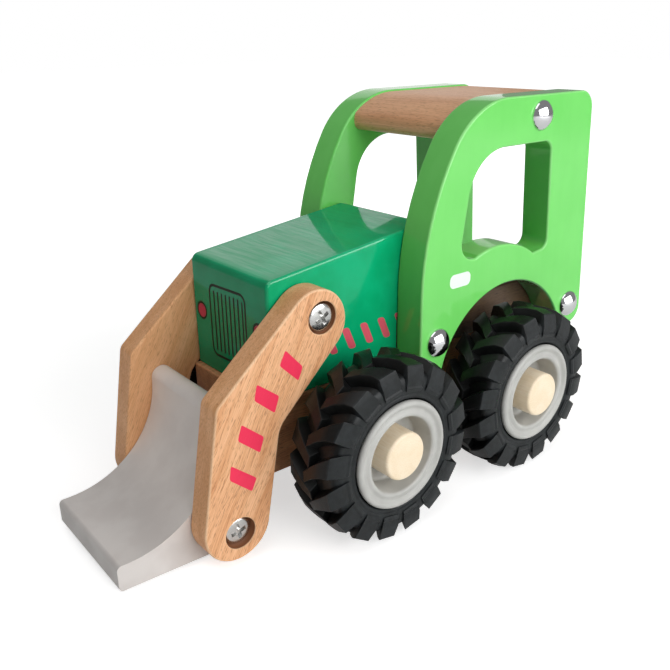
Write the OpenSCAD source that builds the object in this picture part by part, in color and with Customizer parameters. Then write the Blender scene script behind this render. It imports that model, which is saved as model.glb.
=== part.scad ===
// Wooden toy bulldozer: a loader-style dozer on four rubber-tyred wheels, with lifting arms and a tilting
// blade. Millimetres. +X points to the blade, +Y to the driver's left and +Z up. The origin lies on the
// ground, z = 0, under the middle of the length.

/* [Wheels] */
// Outside diameter of a tyre over its lugs
tyre_d = 65; // [58:1:72]
// Width of a tyre over its lugs
tyre_w = 22; // [18:0.5:26]
// Radius of a tyre's shoulders
shoulder_r = 3.5; // [2:0.5:8]
// Height of a lug above the tyre's casing
lug_h = 3.5; // [2:0.5:5]
// Width of one lug bar
lug_w = 5; // [3.5:0.5:6]
// Lug bars on each side of a tyre
lug_count = 16; // [12:1:18]
// Slant of the lug bars from the axle's direction
lug_lean = 28; // [10:1:40]
// How far the casing's side lies inside the lugs
casing_inset = 0.8; // [0.4:0.1:1.5]
// Diameter of the rim over its front lip
rim_d = 38.6; // [34:0.2:42]
// Width of the rim's rolled lip
rim_lip = 4.4; // [3:0.2:5]
// How far the rim's lip reaches over the tyre's bead
rim_hook = 2.5; // [1.5:0.1:3]
// Thickness of the rim's wall
rim_wall = 2.4; // [1.6:0.2:3]
// Gap between the rim's lip and the tyre's bead
bead_gap = 0.7; // [0.2:0.1:1.5]
// How far the rim's lip stands out of the tyre
rim_proud = 0.4; // [0:0.1:1.5]
// How far the rim's back lies inside the tyre's side
rim_back_inset = 2; // [1:0.25:4]
// Diameter of the wooden hub cap
cap_d = 17; // [13:0.5:19]
// Length of the wooden hub cap
cap_l = 10; // [8:0.5:12]
// How far the hub cap stands out of the rim
cap_proud = 1; // [0:0.1:3]
// Bevel of the hub cap's edge
cap_bevel = 0.8; // [0.4:0.2:2]
// Width of the rim's floor around the hub cap
dish_gap = 3; // [2:0.25:4]
// Diameter of the axle rods
axle_d = 6; // [4:0.5:8]
// Outside diameter of the axle spacers
spacer_d = 11; // [10:0.5:14]
// Gap between the front and rear tyres
tyre_spacing = 7; // [4:0.5:12]
// Gap between a tyre and the lift arm beside it
tyre_gap = 1.3; // [0.4:0.1:4]
// How far the rear wheels sit inside the track of the front wheels
rear_wheel_in = 1.4; // [0:0.1:3]

/* [Chassis] */
// Width of the chassis, base, hood, roof and blade
body_w = 48; // [42:1:54]
// Height of the chassis block
chassis_h = 27; // [25:0.5:30]
// Height of the axles above the chassis underside
axle_up = 11; // [9:0.5:12]
// Length of the chassis ahead of the front axle
nose_l = 31; // [29:0.5:34]
// Length of the chassis behind the rear axle
tail_l = 46; // [42:0.5:48]
// Height of the base board under the cab
base_h = 17; // [15:0.5:20]
// Diameter of the wooden joining dowels
dowel_d = 8; // [6:0.5:10]
// Length of the wooden joining dowels
dowel_l = 22; // [16:1:24]
// Distance from an axle to the dowels before and behind it
dowel_off = 18; // [15:0.5:20]

/* [Hood] */
// How far the hood's front stands back from the chassis front
hood_setback = 2; // [0:0.25:4]
// Height of the hood above the chassis at its front
hood_front_h = 42; // [38:0.2:44]
// Rise of the hood's top from front to rear
hood_rise = 8.4; // [5:0.2:14]
// Length of the hood
hood_l = 72; // [66:0.5:76]
// Radius of the hood's front and rear top edges
hood_round = 3; // [1:0.2:6]

/* [Cab] */
// Thickness of a cab side panel
panel_t = 13; // [10:0.5:15]
// Height of a cab side panel
panel_h = 96.3; // [88:0.1:104]
// How far the panels reach below the top of the chassis
panel_drop = 3.5; // [2:0.25:5]
// Distance from the rear axle to the panels' rear edge, at the bottom
panel_rear = 52.3; // [50:0.1:58]
// How far the rear edge leans forward up to the top
panel_lean = 5.6; // [2:0.1:8]
// Radius of the panels' rear corners, top and bottom
rear_corner_r = 7; // [4:0.5:8]
// Radius of the long front curve
brow_r = 99; // [90:1:110]
// Turn of the long front curve, before the tight one
brow_turn = 31; // [28:0.5:34]
// Depth below the panels' top where the long front curve starts
brow_drop = 66.3; // [63:0.1:70]
// Radius of the toe below the front edge
toe_r = 8; // [6:0.5:9]
// Gap between the toe and the front tyre
toe_gap = 0.5; // [0.4:0.1:2]
// Gap between the rear tyre and the wheel arch
arch_gap = 4.2; // [3:0.1:6]
// How far the arch's middle lies above the axle
arch_up = 2.9; // [0:0.1:3]
// How far the arch's middle lies behind the axle
arch_back = 2.4; // [0:0.1:3]
// Depth of the window's top edge below the panels' top
window_drop = 17.3; // [15:0.1:20]
// Height of the window's lower rear corner above the panels' underside
window_sill = 36.8; // [34:0.1:39]
// Distance from the rear axle back to the window's rear edge, at its bottom
window_rear = 25.2; // [22:0.1:28]
// Distance from the rear axle forward to the window's front edge
window_front = 24.7; // [23:0.1:26]
// Radius of the window's rear corners
window_corner_r = 4; // [2:0.5:5]
// Radius of the window's brow
window_brow_r = 18.3; // [16:0.1:19]
// Distance from the rear axle forward to the middle of the window's brow
window_brow_fwd = 4; // [2:0.1:5]
// Radius of the window's front lower corner
window_lobe_r = 6.5; // [5:0.1:7]
// Height of the window's front lower corner above its rear one
window_lobe_up = 3.5; // [2:0.1:5]
// Radius of the sill's swell over the wheel
sill_r = 36; // [33:0.5:40]
// Rise of the sill's swell above the window's rear corner
sill_rise = 6.2; // [5:0.1:7]
// Thickness of the roof board
roof_t = 13.9; // [11:0.1:15]
// How far the roof lies inside the panels' outline
roof_inset = 0.6; // [0.2:0.1:2]
// Radius of the roof's front nose
roof_nose_r = 3.5; // [2:0.5:5]
// Height of the flat on the roof's front nose
roof_nose_flat = 1.1; // [0.5:0.1:3]

/* [Fasteners] */
// Diameter of the domed bolt heads
bolt_head_d = 11; // [8:0.5:12]
// Height of the domed bolt heads
bolt_head_h = 3.4; // [2:0.2:4]
// Diameter of the bolts' shanks
bolt_d = 5; // [3:0.5:6]
// Length of a bolt in the wood behind the panel
bolt_grip = 14; // [10:1:18]
// Distance from the rear axle back to the roof bolts
roof_bolt_back = 15.3; // [10:0.1:20]
// How far the rear bolts lie below the middle of the base board
rear_bolt_drop = 2.5; // [0:0.1:4]
// Diameter of the pivot screws' heads
screw_head_d = 9.8; // [8:0.2:11]
// Height of the pivot screws' heads
screw_head_h = 2.6; // [2:0.2:3.2]
// Diameter of the pivot screws' shanks
screw_d = 4; // [3:0.2:5]
// Length of a pivot screw in the wood behind the arm
screw_grip = 13; // [10:1:16]
// Length of the cross recess in a pivot screw's head
cross_l = 4.8; // [3:0.2:5]
// Width of the cross recess in a pivot screw's head
cross_w = 1.1; // [0.6:0.1:1.4]
// Depth of the cross recess in a pivot screw's head
cross_h = 1.3; // [0.6:0.1:1.6]

/* [Lift arms] */
// Thickness of a lift arm
arm_t = 9.8; // [7:0.2:12]
// Distance from the hood's front back to the lift pivot
pivot_back = 14.6; // [12:0.2:18]
// Height of the lift pivot above the chassis
pivot_up = 29.4; // [26:0.1:32]
// Radius of an arm's upper end
arm_top_r = 11.7; // [9:0.1:13]
// How far the middle of an arm's upper end lies ahead of the lift pivot
arm_top_fwd = 2.1; // [0:0.1:3]
// How far the middle of an arm's upper end lies below the lift pivot
arm_top_drop = 1.8; // [0:0.1:3]
// Radius of an arm's lower end
arm_foot_r = 12.2; // [9:0.1:14]
// How far the middle of an arm's lower end lies ahead of the blade pivot
arm_foot_fwd = 0.7; // [0:0.1:2]
// Height of the arms' feet above the ground
foot_gap = 2.4; // [1:0.1:4]
// Distance forward from the lift pivot to the blade pivot
reach_fwd = 35.3; // [33:0.1:38]
// Distance forward from the lift pivot to the middle of the elbow's bend
elbow_fwd = 37.2; // [34:0.1:40]
// Distance down from the lift pivot to the middle of the elbow's bend
elbow_drop = 21.9; // [19:0.1:25]
// Radius of the elbow's bend
elbow_r = 4; // [2:0.5:10]
// Distance forward from the lift pivot to the elbow's inner corner
notch_fwd = 18.2; // [15:0.1:20]
// Distance down from the lift pivot to the elbow's inner corner
notch_drop = 33.3; // [30:0.1:36]
// Radius of the elbow's inner corner
notch_r = 10; // [6:1:16]
// Gap between a pivot screw's head and its counterbore
counterbore_gap = 0.7; // [0.4:0.1:2]
// Depth of the counterbores at the lift pivot
lift_bore_h = 3; // [2.8:0.2:4.6]
// Depth of the counterbores at the blade pivot
tilt_bore_h = 4.2; // [3.4:0.2:4.8]

/* [Blade] */
// Height of the blade's heel above the ground
ground_gap = 1.1; // [0.4:0.1:3]
// Radius of the blade's hollow face
scoop_r = 35.5; // [32:0.5:39]
// Distance back from the blade pivot to the hollow's rear edge
scoop_back = 1; // [0:0.1:4]
// Thickness of the blade at its top edge
blade_top_t = 8; // [6:0.5:9]
// Radius of the blade's rounded heel about its pivot
heel_r = 10.9; // [9:0.1:12]
// Height of the lip
lip_h = 9.2; // [7:0.1:11]
// Distance forward from the hollow's lowest point to the lip's front
lip_fwd = 4; // [3.5:0.25:6]
// Radius of the lip's edges
lip_r = 1.6; // [1:0.2:3.2]
// Height of the lip's underside above the heel's underside
lip_rise = 1.2; // [0:0.1:3]

/* [Fits] */
// Gap between the wheels' parts and their neighbours along the axle
side_play = 0.4; // [0.2:0.1:0.8]
// Gap between an arm and the wood beside it
arm_play = 0.3; // [0.2:0.1:0.6]
// Gap under a pivot screw's head
head_play = 0.2; // [0.1:0.05:0.4]
// Radial clearance where a part turns on a pin
turn_fit = 0.06; // [0.02:0.01:0.1]
// Radial clearance of a glued or driven pin in its hole
tight_fit = 0.02; // [0.01:0.01:0.05]
// Extra depth of a blind hole past its pin
hole_spare = 1; // [0.5:0.5:2]

/* [Hidden] */
$fn = 48;
// Turn of each step along an arc, and along a tyre's shoulder
arc_step = 5;
shoulder_step = 22.5;
// How far a cut runs past a face
past = 1;

half_w = body_w / 2;
axle_z = tyre_d / 2;
wheel_base = tyre_d + tyre_spacing;
chassis_under = axle_z - axle_up;
chassis_top = chassis_under + chassis_h;
chassis_front = wheel_base + nose_l;
base_top = chassis_top + base_h;
hood_front = chassis_front - hood_setback;
hood_rear = hood_front - hood_l;
hood_front_z = chassis_top + hood_front_h;
hood_slope = atan2(hood_rise, hood_l);

// Upright dowels cross the joint between the chassis and what stands on it
hood_dowel_x = [wheel_base - dowel_off, wheel_base + dowel_off];
base_dowel_x = [-dowel_off, dowel_off];

// Cab panel, in side view: distances from the rear axle and heights above the ground
panel_bottom = chassis_top - panel_drop;
panel_top = panel_bottom + panel_h;
outer_y = half_w + panel_t;
toe_z = panel_bottom + toe_r;
toe_reach = tyre_d / 2 + toe_gap + toe_r;
toe_x = wheel_base - sqrt(toe_reach * toe_reach - pow(toe_z - axle_z, 2));
panel_front = toe_x + toe_r;
brow_c = [panel_front - brow_r, panel_top - brow_drop];
brow_end = brow_c + brow_r * [cos(brow_turn), sin(brow_turn)];
crown_r = (panel_top - brow_end[1]) / (1 - sin(brow_turn));
crown_c = brow_end - crown_r * [cos(brow_turn), sin(brow_turn)];
rear_slope = atan2(panel_lean, panel_h);
arch_r = tyre_d / 2 + arch_gap;
arch_c = [-arch_back, axle_z + arch_up];
sill_z = panel_bottom + window_sill;
window_top = panel_top - window_drop;
roof_top = panel_top - roof_inset;
roof_under = roof_top - roof_t;

// Bolts stand midway between the wheel arch and the panel's edges, in the base board, and in the roof board
base_mid = (chassis_top + base_top) / 2;
rear_bolt_z = base_mid - rear_bolt_drop;
front_bolt = [(panel_front + arch_c[0] + arch_half(base_mid)) / 2, base_mid];
rear_bolt = [(rear_x(rear_bolt_z) + arch_c[0] - arch_half(rear_bolt_z)) / 2, rear_bolt_z];
roof_bolt = [-roof_bolt_back, (roof_under + roof_top) / 2];
bolt_places = [front_bolt, rear_bolt, roof_bolt];

// Lift arm and blade, in side view. The blade's heel and the arms' feet hang just above the ground.
pivot = [hood_front - pivot_back, chassis_top + pivot_up];
foot = [pivot[0] + reach_fwd, heel_r + ground_gap];
arm_top_c = pivot + [arm_top_fwd, -arm_top_drop];
arm_foot_c = [foot[0] + arm_foot_fwd, arm_foot_r + foot_gap];
elbow = pivot + [elbow_fwd, -elbow_drop];
notch = pivot + [notch_fwd, -notch_drop];
arm_in = half_w + arm_play;
arm_out = arm_in + arm_t;
counterbore_d = screw_head_d + 2 * counterbore_gap;
lip_under = foot[1] - heel_r + lip_rise;
lip_top = lip_under + lip_h;
scoop_c = [foot[0] - scoop_back + scoop_r, lip_top + scoop_r];
lip_x = scoop_c[0] + lip_fwd;

// Wheels, measured along the axle from the middle of the tyre towards the outside
wheel_y = arm_out + tyre_gap + tyre_w / 2;
rim_face = tyre_w / 2 + rim_proud;
rim_back = rim_back_inset - tyre_w / 2;
rim_r = rim_d / 2;
bead_r = rim_r - rim_hook;
lug_root_r = tyre_d / 2 - 2 * lug_h;
dish_r = cap_d / 2 + dish_gap;
cap_face = rim_face + cap_proud;
cap_back = cap_face - cap_l;
rim_floor = cap_back - side_play;
axle_end = wheel_y + cap_face - 2 * hole_spare;

// The origin lies under the middle of the length, which the panels' lower rear corner and the lip end
mid_x = (lip_x + rear_x(panel_bottom + rear_corner_r)) / 2;

// Forward place of the panels' slanted rear edge, and of the window's, at a height
function rear_x(z) = -panel_rear + tan(rear_slope) * (z - panel_bottom);
function window_rear_x(z) = -window_rear + tan(rear_slope) * (z - sill_z);

// Distance from the toy's middle to the middle of the wheels on the axle at x
function track_y(x) = x > 0 ? wheel_y : wheel_y - rear_wheel_in;

// Half the wheel arch's width at a height
function arch_half(z) = sqrt(arch_r * arch_r - pow(z - arch_c[1], 2));

function arc(c, r, from, to, step = arc_step) =
    let (n = ceil(abs(to - from) / step))
    [for (i = [0:n]) let (a = from + (to - from) * i / n) c + r * [cos(a), sin(a)]];

function heading(p, q) = atan2(q[1] - p[1], q[0] - p[0]);

// Direction from a circle's centre to where the straight edge it shares with a second circle touches it.
// side is 1 for the edge on the left of the way from the first circle to the second, and -1 for the right.
function edge_angle(c1, r1, c2, r2, side) = heading(c1, c2) + side * acos((r1 - r2) / norm(c2 - c1));

// Moves the rear axle's frame to the middle of the length
module centred() {
    translate([-mid_x, 0, 0]) children();
}

// A plate cut to a side-view outline, from y = from to y = from + t
module side_plate(from, t) {
    translate([0, from + t, 0]) rotate([90, 0, 0]) linear_extrude(t) children();
}

// A pin along Y at a point of the side view
module cross_pin(p, d, from, to) {
    translate([p[0], from, p[1]]) rotate([-90, 0, 0]) cylinder(d = d, h = to - from);
}

// The same on both sides of the toy
module both_sides() {
    children();
    mirror([0, 1, 0]) children();
}

// Chassis, base and hood

module chassis() {
    color("saddlebrown") centred() difference() {
        translate([-tail_l, -half_w, chassis_under]) cube([tail_l + chassis_front, body_w, chassis_h]);
        for (x = [0, wheel_base])
            cross_pin([x, axle_z], axle_d + 2 * tight_fit, -half_w - past, half_w + past);
        dowel_holes(hood_dowel_x);
        dowel_holes(base_dowel_x);
    }
}

module dowels(places) {
    for (x = places)
        translate([x, 0, chassis_top - dowel_l / 2]) cylinder(d = dowel_d, h = dowel_l);
}

module dowel_holes(places) {
    for (x = places)
        translate([x, 0, chassis_top - dowel_l / 2 - hole_spare])
            cylinder(d = dowel_d + 2 * tight_fit, h = dowel_l + 2 * hole_spare);
}

module hood_dowels() {
    color("burlywood") centred() dowels(hood_dowel_x);
}

module base_dowels() {
    color("burlywood") centred() dowels(base_dowel_x);
}

module cab_base() {
    color("saddlebrown") centred() difference() {
        translate([-tail_l, -half_w, chassis_top]) cube([tail_l + panel_front, body_w, base_h]);
        dowel_holes(base_dowel_x);
        both_sides() bolt_holes([front_bolt, rear_bolt]);
    }
}

// The hood's top slopes up to the cab, and its rear end laps over the base board
module hood() {
    front_c = [hood_front - hood_round, hood_front_z - hood_round];
    rear_c = [hood_rear + hood_round, hood_front_z + hood_rise - hood_round];
    color("mediumseagreen") centred() difference() {
        side_plate(-half_w, body_w) polygon(concat(
            [[hood_front, chassis_top]],
            arc(front_c, hood_round, 0, 90 - hood_slope),
            arc(rear_c, hood_round, 90 - hood_slope, 180),
            [[hood_rear, base_top], [panel_front, base_top], [panel_front, chassis_top]]
        ));
        dowel_holes(hood_dowel_x);
        both_sides() screw_hole(pivot);
    }
}

// Cab

module panel_outline() {
    low_c = [rear_x(panel_bottom + rear_corner_r) + rear_corner_r, panel_bottom + rear_corner_r];
    high_c = [rear_x(panel_top - rear_corner_r) + rear_corner_r, panel_top - rear_corner_r];
    difference() {
        polygon(concat(
            arc([toe_x, toe_z], toe_r, -90, 0),
            arc(brow_c, brow_r, 0, brow_turn),
            arc(crown_c, crown_r, brow_turn, 90),
            arc(high_c, rear_corner_r, 90, 180 - rear_slope),
            arc(low_c, rear_corner_r, 180 - rear_slope, 270)
        ));
        translate(arch_c) circle(arch_r);
        window_outline();
    }
}

// The window has a straight rear edge, a round brow and a sill that swells over the wheel arch
module window_outline() {
    r = window_corner_r;
    brow_mid = [window_brow_fwd, window_top - window_brow_r];
    lobe_c = [window_front - window_lobe_r, sill_z + window_lobe_up + window_lobe_r];
    sill_c = [window_brow_fwd, sill_z + sill_rise - sill_r];
    low_c = [window_rear_x(sill_z + r) + r, sill_z + r];
    high_c = [window_rear_x(window_top - r) + r, window_top - r];
    front = edge_angle(brow_mid, window_brow_r, lobe_c, window_lobe_r, 1);
    // The front corner turns on past its lowest point into the swell, which ends short of the rear corner
    lobe_end = -100;
    swell_from = acos((lobe_c[0] - window_lobe_r / 3 - sill_c[0]) / sill_r);
    swell_to = acos((low_c[0] + r - sill_c[0]) / sill_r);
    polygon(concat(
        arc(brow_mid, window_brow_r, 90, front),
        arc(lobe_c, window_lobe_r, front, lobe_end),
        arc(sill_c, sill_r, swell_from, swell_to),
        arc(low_c, r, 270, 180 - rear_slope),
        arc(high_c, r, 180 - rear_slope, 90)
    ));
}

module bolt_holes(places) {
    for (p = places)
        cross_pin(p, bolt_d + 2 * tight_fit, half_w - bolt_grip - hole_spare, outer_y + past);
}

module cab_panel() {
    difference() {
        side_plate(half_w, panel_t) panel_outline();
        bolt_holes(bolt_places);
    }
}

module cab_panel_left() {
    color("limegreen") centred() cab_panel();
}

module cab_panel_right() {
    color("limegreen") centred() mirror([0, 1, 0]) cab_panel();
}

module panel_bolts() {
    cap_r = (bolt_head_d * bolt_head_d / 4 + bolt_head_h * bolt_head_h) / (2 * bolt_head_h);
    for (p = bolt_places) {
        cross_pin(p, bolt_d, half_w - bolt_grip, outer_y);
        translate([p[0], outer_y, p[1]]) rotate([-90, 0, 0]) intersection() {
            translate([0, 0, bolt_head_h - cap_r]) sphere(r = cap_r);
            cylinder(d = bolt_head_d, h = bolt_head_h + past);
        }
    }
}

module panel_bolts_left() {
    color("silver") centred() panel_bolts();
}

module panel_bolts_right() {
    color("silver") centred() mirror([0, 1, 0]) panel_bolts();
}

module roof() {
    brow = crown_r - roof_inset;
    low_z = roof_under + roof_nose_r;
    // The brow runs down until its nose meets the flat above the roof's underside
    turn = asin((low_z + roof_nose_flat - crown_c[1]) / (brow - roof_nose_r));
    nose_c = crown_c + (brow - roof_nose_r) * [cos(turn), sin(turn)];
    low_c = [nose_c[0], low_z];
    rear_c = [rear_x(roof_top - rear_corner_r) + rear_corner_r + roof_inset, roof_top - rear_corner_r];
    color("tan") centred() difference() {
        side_plate(-half_w, body_w) polygon(concat(
            arc(low_c, roof_nose_r, -90, 0),
            arc(nose_c, roof_nose_r, 0, turn),
            arc(crown_c, brow, turn, 90),
            arc(rear_c, rear_corner_r, 90, 180 - rear_slope),
            [[rear_x(roof_under) + roof_inset, roof_under]]
        ));
        both_sides() bolt_holes([roof_bolt]);
    }
}

// Wheels. A wheel is drawn with its axis along Z and its outside up, then laid along Y.

module on_axle(x, y, side) {
    centred() translate([x, side * y, axle_z]) rotate([-90 * side, 0, 0]) children();
}

module axle(x) {
    color("silver") centred() cross_pin([x, axle_z], axle_d, -axle_end, axle_end);
}

module front_axle() {
    axle(wheel_base);
}

module rear_axle() {
    axle(0);
}

module axle_spacers() {
    color("burlywood") centred() both_sides() for (x = [0, wheel_base]) {
        spacer_out = track_y(x) + rim_back - side_play;
        difference() {
            cross_pin([x, axle_z], spacer_d, half_w, spacer_out);
            cross_pin([x, axle_z], axle_d + 2 * tight_fit, half_w - past, spacer_out + past);
        }
    }
}

// All four caps sit at the ends of the axles, so the rear wheels have more play behind theirs
module hub_cap(x, side) {
    r = cap_d / 2;
    color("bisque") on_axle(x, wheel_y, side) difference() {
        rotate_extrude() polygon([
            [0, cap_back], [r, cap_back], [r, cap_face - cap_bevel], [r - cap_bevel, cap_face], [0, cap_face]
        ]);
        translate([0, 0, cap_back - past])
            cylinder(d = axle_d + 2 * tight_fit, h = cap_l - hole_spare + past);
    }
}

module hub_cap_front_left() {
    hub_cap(wheel_base, 1);
}

module hub_cap_front_right() {
    hub_cap(wheel_base, -1);
}

module hub_cap_rear_left() {
    hub_cap(0, 1);
}

module hub_cap_rear_right() {
    hub_cap(0, -1);
}

// Rim: a drum with a dished front, a thick rolled lip, and a boss that runs on the axle
module rim(x, side) {
    boss_r = spacer_d / 2;
    inside_r = bead_r - rim_wall;
    web_back = rim_floor - rim_wall;
    color("gainsboro") on_axle(x, track_y(x), side) difference() {
        rotate_extrude() polygon(concat(
            [[0, rim_back], [boss_r, rim_back], [boss_r, web_back]],
            [[inside_r, web_back], [inside_r, rim_back]],
            [[bead_r, rim_back], [bead_r, rim_face - rim_lip / 2]],
            arc([rim_r - rim_lip / 2, rim_face - rim_lip / 2], rim_lip / 2, 0, 180),
            [[dish_r, rim_floor], [0, rim_floor]]
        ));
        translate([0, 0, rim_back - past])
            cylinder(d = axle_d + 2 * turn_fit, h = rim_floor - rim_back + 2 * past);
    }
}

module rim_front_left() {
    rim(wheel_base, 1);
}

module rim_front_right() {
    rim(wheel_base, -1);
}

module rim_rear_left() {
    rim(0, 1);
}

module rim_rear_right() {
    rim(0, -1);
}

// A ring about the wheel's axis. half is one side of its section, from the inside up to the tread, as
// distances from the axis and from the middle plane.
module tyre_ring(half) {
    other = [for (i = [len(half) - 1:-1:0]) [half[i][0], -half[i][1]]];
    rotate_extrude() polygon(concat(half, other));
}

// Half a section's round shoulder, for a tread of radius r and a half width h
function shoulder(r, h) = arc([r - shoulder_r, h - shoulder_r], shoulder_r, 90, 0, shoulder_step);

// One row of slanted bars, from the middle of the tread to the side of the tyre. start is a share of a bar's
// pitch around the tyre.
module lug_row(start) {
    bar_l = tyre_w / 2 / cos(lug_lean) + past;
    for (i = [0:lug_count - 1])
        rotate(360 / lug_count * (i + start)) translate([lug_root_r, 0, 0]) rotate([lug_lean, 0, 0])
            translate([0, -lug_w / 2, 0]) cube([tyre_d / 2 - lug_root_r + lug_h, lug_w, bar_l]);
}

module tyre(x, side) {
    r = tyre_d / 2;
    h = tyre_w / 2;
    bead = rim_face - rim_lip / 2 - bead_gap;
    color("dimgray") on_axle(x, track_y(x), side) union() {
        tyre_ring(concat(
            [[bead_r + tight_fit, bead], [rim_r + bead_gap, bead]],
            shoulder(r - lug_h, h - casing_inset)
        ));
        intersection() {
            tyre_ring(concat([[lug_root_r, h]], shoulder(r, h)));
            union() {
                lug_row(0.25);
                mirror([0, 0, 1]) lug_row(0.75);
            }
        }
    }
}

module tyre_front_left() {
    tyre(wheel_base, 1);
}

module tyre_front_right() {
    tyre(wheel_base, -1);
}

module tyre_rear_left() {
    tyre(0, 1);
}

module tyre_rear_right() {
    tyre(0, -1);
}

// Lift arms and blade

module arm_outline() {
    top_front = edge_angle(arm_top_c, arm_top_r, elbow, elbow_r, 1);
    low_front = edge_angle(elbow, elbow_r, arm_foot_c, arm_foot_r, 1);
    foot_rear = edge_angle(notch, 0, arm_foot_c, arm_foot_r, -1);
    top_rear = edge_angle(arm_top_c, arm_top_r, notch, 0, -1);
    // The inner corner is a hollow bend between the two rear edges
    out = (top_rear + foot_rear) / 2;
    bend_c = notch + notch_r / cos((top_rear - foot_rear) / 2) * [cos(out), sin(out)];
    polygon(concat(
        arc(arm_top_c, arm_top_r, top_front, top_rear + 360),
        arc(bend_c, notch_r, top_rear + 180, foot_rear + 180),
        arc(arm_foot_c, arm_foot_r, foot_rear, low_front),
        arc(elbow, elbow_r, low_front, top_front)
    ));
}

module lift_arm() {
    difference() {
        side_plate(arm_in, arm_t) arm_outline();
        for (p = [pivot, foot])
            cross_pin(p, screw_d + 2 * turn_fit, arm_in - past, arm_out + past);
        cross_pin(pivot, counterbore_d, arm_out - lift_bore_h, arm_out + past);
        cross_pin(foot, counterbore_d, arm_out - tilt_bore_h, arm_out + past);
    }
}

module lift_arm_left() {
    color("burlywood") centred() lift_arm();
}

module lift_arm_right() {
    color("burlywood") centred() mirror([0, 1, 0]) lift_arm();
}

// A pan-head screw whose head stands in the arm's counterbore, of depth bore_h
module pivot_screw(p, bore_h) {
    head_y = arm_out - bore_h + head_play;
    top_y = head_y + screw_head_h;
    difference() {
        union() {
            cross_pin(p, screw_d, half_w - screw_grip, head_y);
            cross_pin(p, screw_head_d, head_y, top_y);
        }
        for (turn = [0, 90])
            translate([p[0], top_y, p[1]]) rotate([0, turn, 0])
                cube([cross_l, 2 * cross_h, cross_w], center = true);
    }
}

// The screw's hole in the hood or the blade
module screw_hole(p) {
    cross_pin(p, screw_d + 2 * tight_fit, half_w - screw_grip - hole_spare, half_w + past);
}

module lift_pivot_screws() {
    color("silver") centred() both_sides() pivot_screw(pivot, lift_bore_h);
}

module blade_pivot_screws() {
    color("silver") centred() both_sides() pivot_screw(foot, tilt_bore_h);
}

module blade() {
    top_r = blade_top_t / 2;
    top_c = [scoop_c[0] - scoop_r - top_r, scoop_c[1]];
    lip_low = [lip_x - lip_r, lip_under + lip_r];
    lip_high = [lip_x - lip_r, lip_top - lip_r];
    color("lightgray") centred() difference() {
        side_plate(-half_w, body_w) polygon(concat(
            arc(foot, heel_r, 180, 270),
            arc(lip_low, lip_r, 270, 360),
            arc(lip_high, lip_r, 0, 90),
            arc(scoop_c, scoop_r, 270, 180),
            arc(top_c, top_r, 0, 180)
        ));
        both_sides() screw_hole(foot);
    }
}

chassis();
cab_base();
hood();
roof();
cab_panel_left();
cab_panel_right();
hood_dowels();
base_dowels();
panel_bolts_left();
panel_bolts_right();
front_axle();
rear_axle();
axle_spacers();
hub_cap_front_left();
hub_cap_front_right();
hub_cap_rear_left();
hub_cap_rear_right();
tyre_front_left();
tyre_front_right();
tyre_rear_left();
tyre_rear_right();
rim_front_left();
rim_front_right();
rim_rear_left();
rim_rear_right();
lift_arm_left();
lift_arm_right();
lift_pivot_screws();
blade();
blade_pivot_screws();
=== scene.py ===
# %% [markdown]
# # A wooden toy bulldozer
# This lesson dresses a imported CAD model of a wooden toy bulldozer: a loader-style dozer on four
# rubber-tyred wheels, with beech arms that lift a grey blade. The CAD solids say where each piece is and
# how it moves. The pieces here stand in for them with the softened edges, tread and finishes that the real
# toy shows.

# %% Load the frame
import math
from functools import reduce

import bmesh
import bpy
from mathutils import Matrix, Vector


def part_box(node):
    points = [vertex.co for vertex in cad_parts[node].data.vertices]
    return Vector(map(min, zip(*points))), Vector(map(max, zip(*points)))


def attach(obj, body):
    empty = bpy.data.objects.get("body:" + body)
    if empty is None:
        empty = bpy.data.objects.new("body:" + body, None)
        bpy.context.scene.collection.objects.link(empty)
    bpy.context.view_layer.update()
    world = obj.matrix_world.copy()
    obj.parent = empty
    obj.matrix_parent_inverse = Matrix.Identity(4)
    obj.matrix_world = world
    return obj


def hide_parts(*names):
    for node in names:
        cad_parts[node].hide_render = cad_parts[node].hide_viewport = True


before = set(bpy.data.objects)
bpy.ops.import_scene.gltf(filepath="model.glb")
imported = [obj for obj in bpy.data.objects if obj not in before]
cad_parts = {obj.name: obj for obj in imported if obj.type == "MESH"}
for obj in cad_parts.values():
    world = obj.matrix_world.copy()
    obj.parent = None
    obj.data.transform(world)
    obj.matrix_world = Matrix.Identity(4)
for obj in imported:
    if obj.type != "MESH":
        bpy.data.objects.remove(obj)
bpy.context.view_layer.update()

# %% [markdown]
# ## One frame for all the sketches
# The toy's maker would lay out the side view from the rear axle, in millimetres, so the sketches below do
# too: x goes forward from the rear axle, y to the driver's left and z up from the ground. One matrix then
# takes a finished piece to the model's frame in metres. The axle's place is read from the CAD model rather
# than typed in again.

# %% Place of the sketches
MM = 0.001
axle_low, axle_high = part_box("rear_axle")
REAR_AXLE = (axle_low + axle_high) / 2
AXLE_Z = REAR_AXLE.z / MM
SKETCH_TO_MODEL = Matrix.Translation((REAR_AXLE.x, 0, 0)) @ Matrix.Scale(MM, 4)
print("rear axle at", [round(v, 4) for v in REAR_AXLE])

# %% [markdown]
# ## The camera
# A product photo is taken with a short telephoto lens from about eye height. The wheels' ellipses and the
# boards' edges in the photograph fix where that camera stood, so it is set by its azimuth, elevation and
# small tilt, and not aimed by eye. A matrix with the camera's right, up and back directions as columns
# does this in one step.

# %% Camera
CAMERA_PLACE = Vector((228.95, 219.09, 162.93))
CAMERA_AZIMUTH, CAMERA_ELEVATION, CAMERA_TILT = (math.radians(a) for a in (141.38, 21.10, -0.87))
LENS_MM = 41.66
LENS_SHIFT = (-0.0012, -0.0034)

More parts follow.
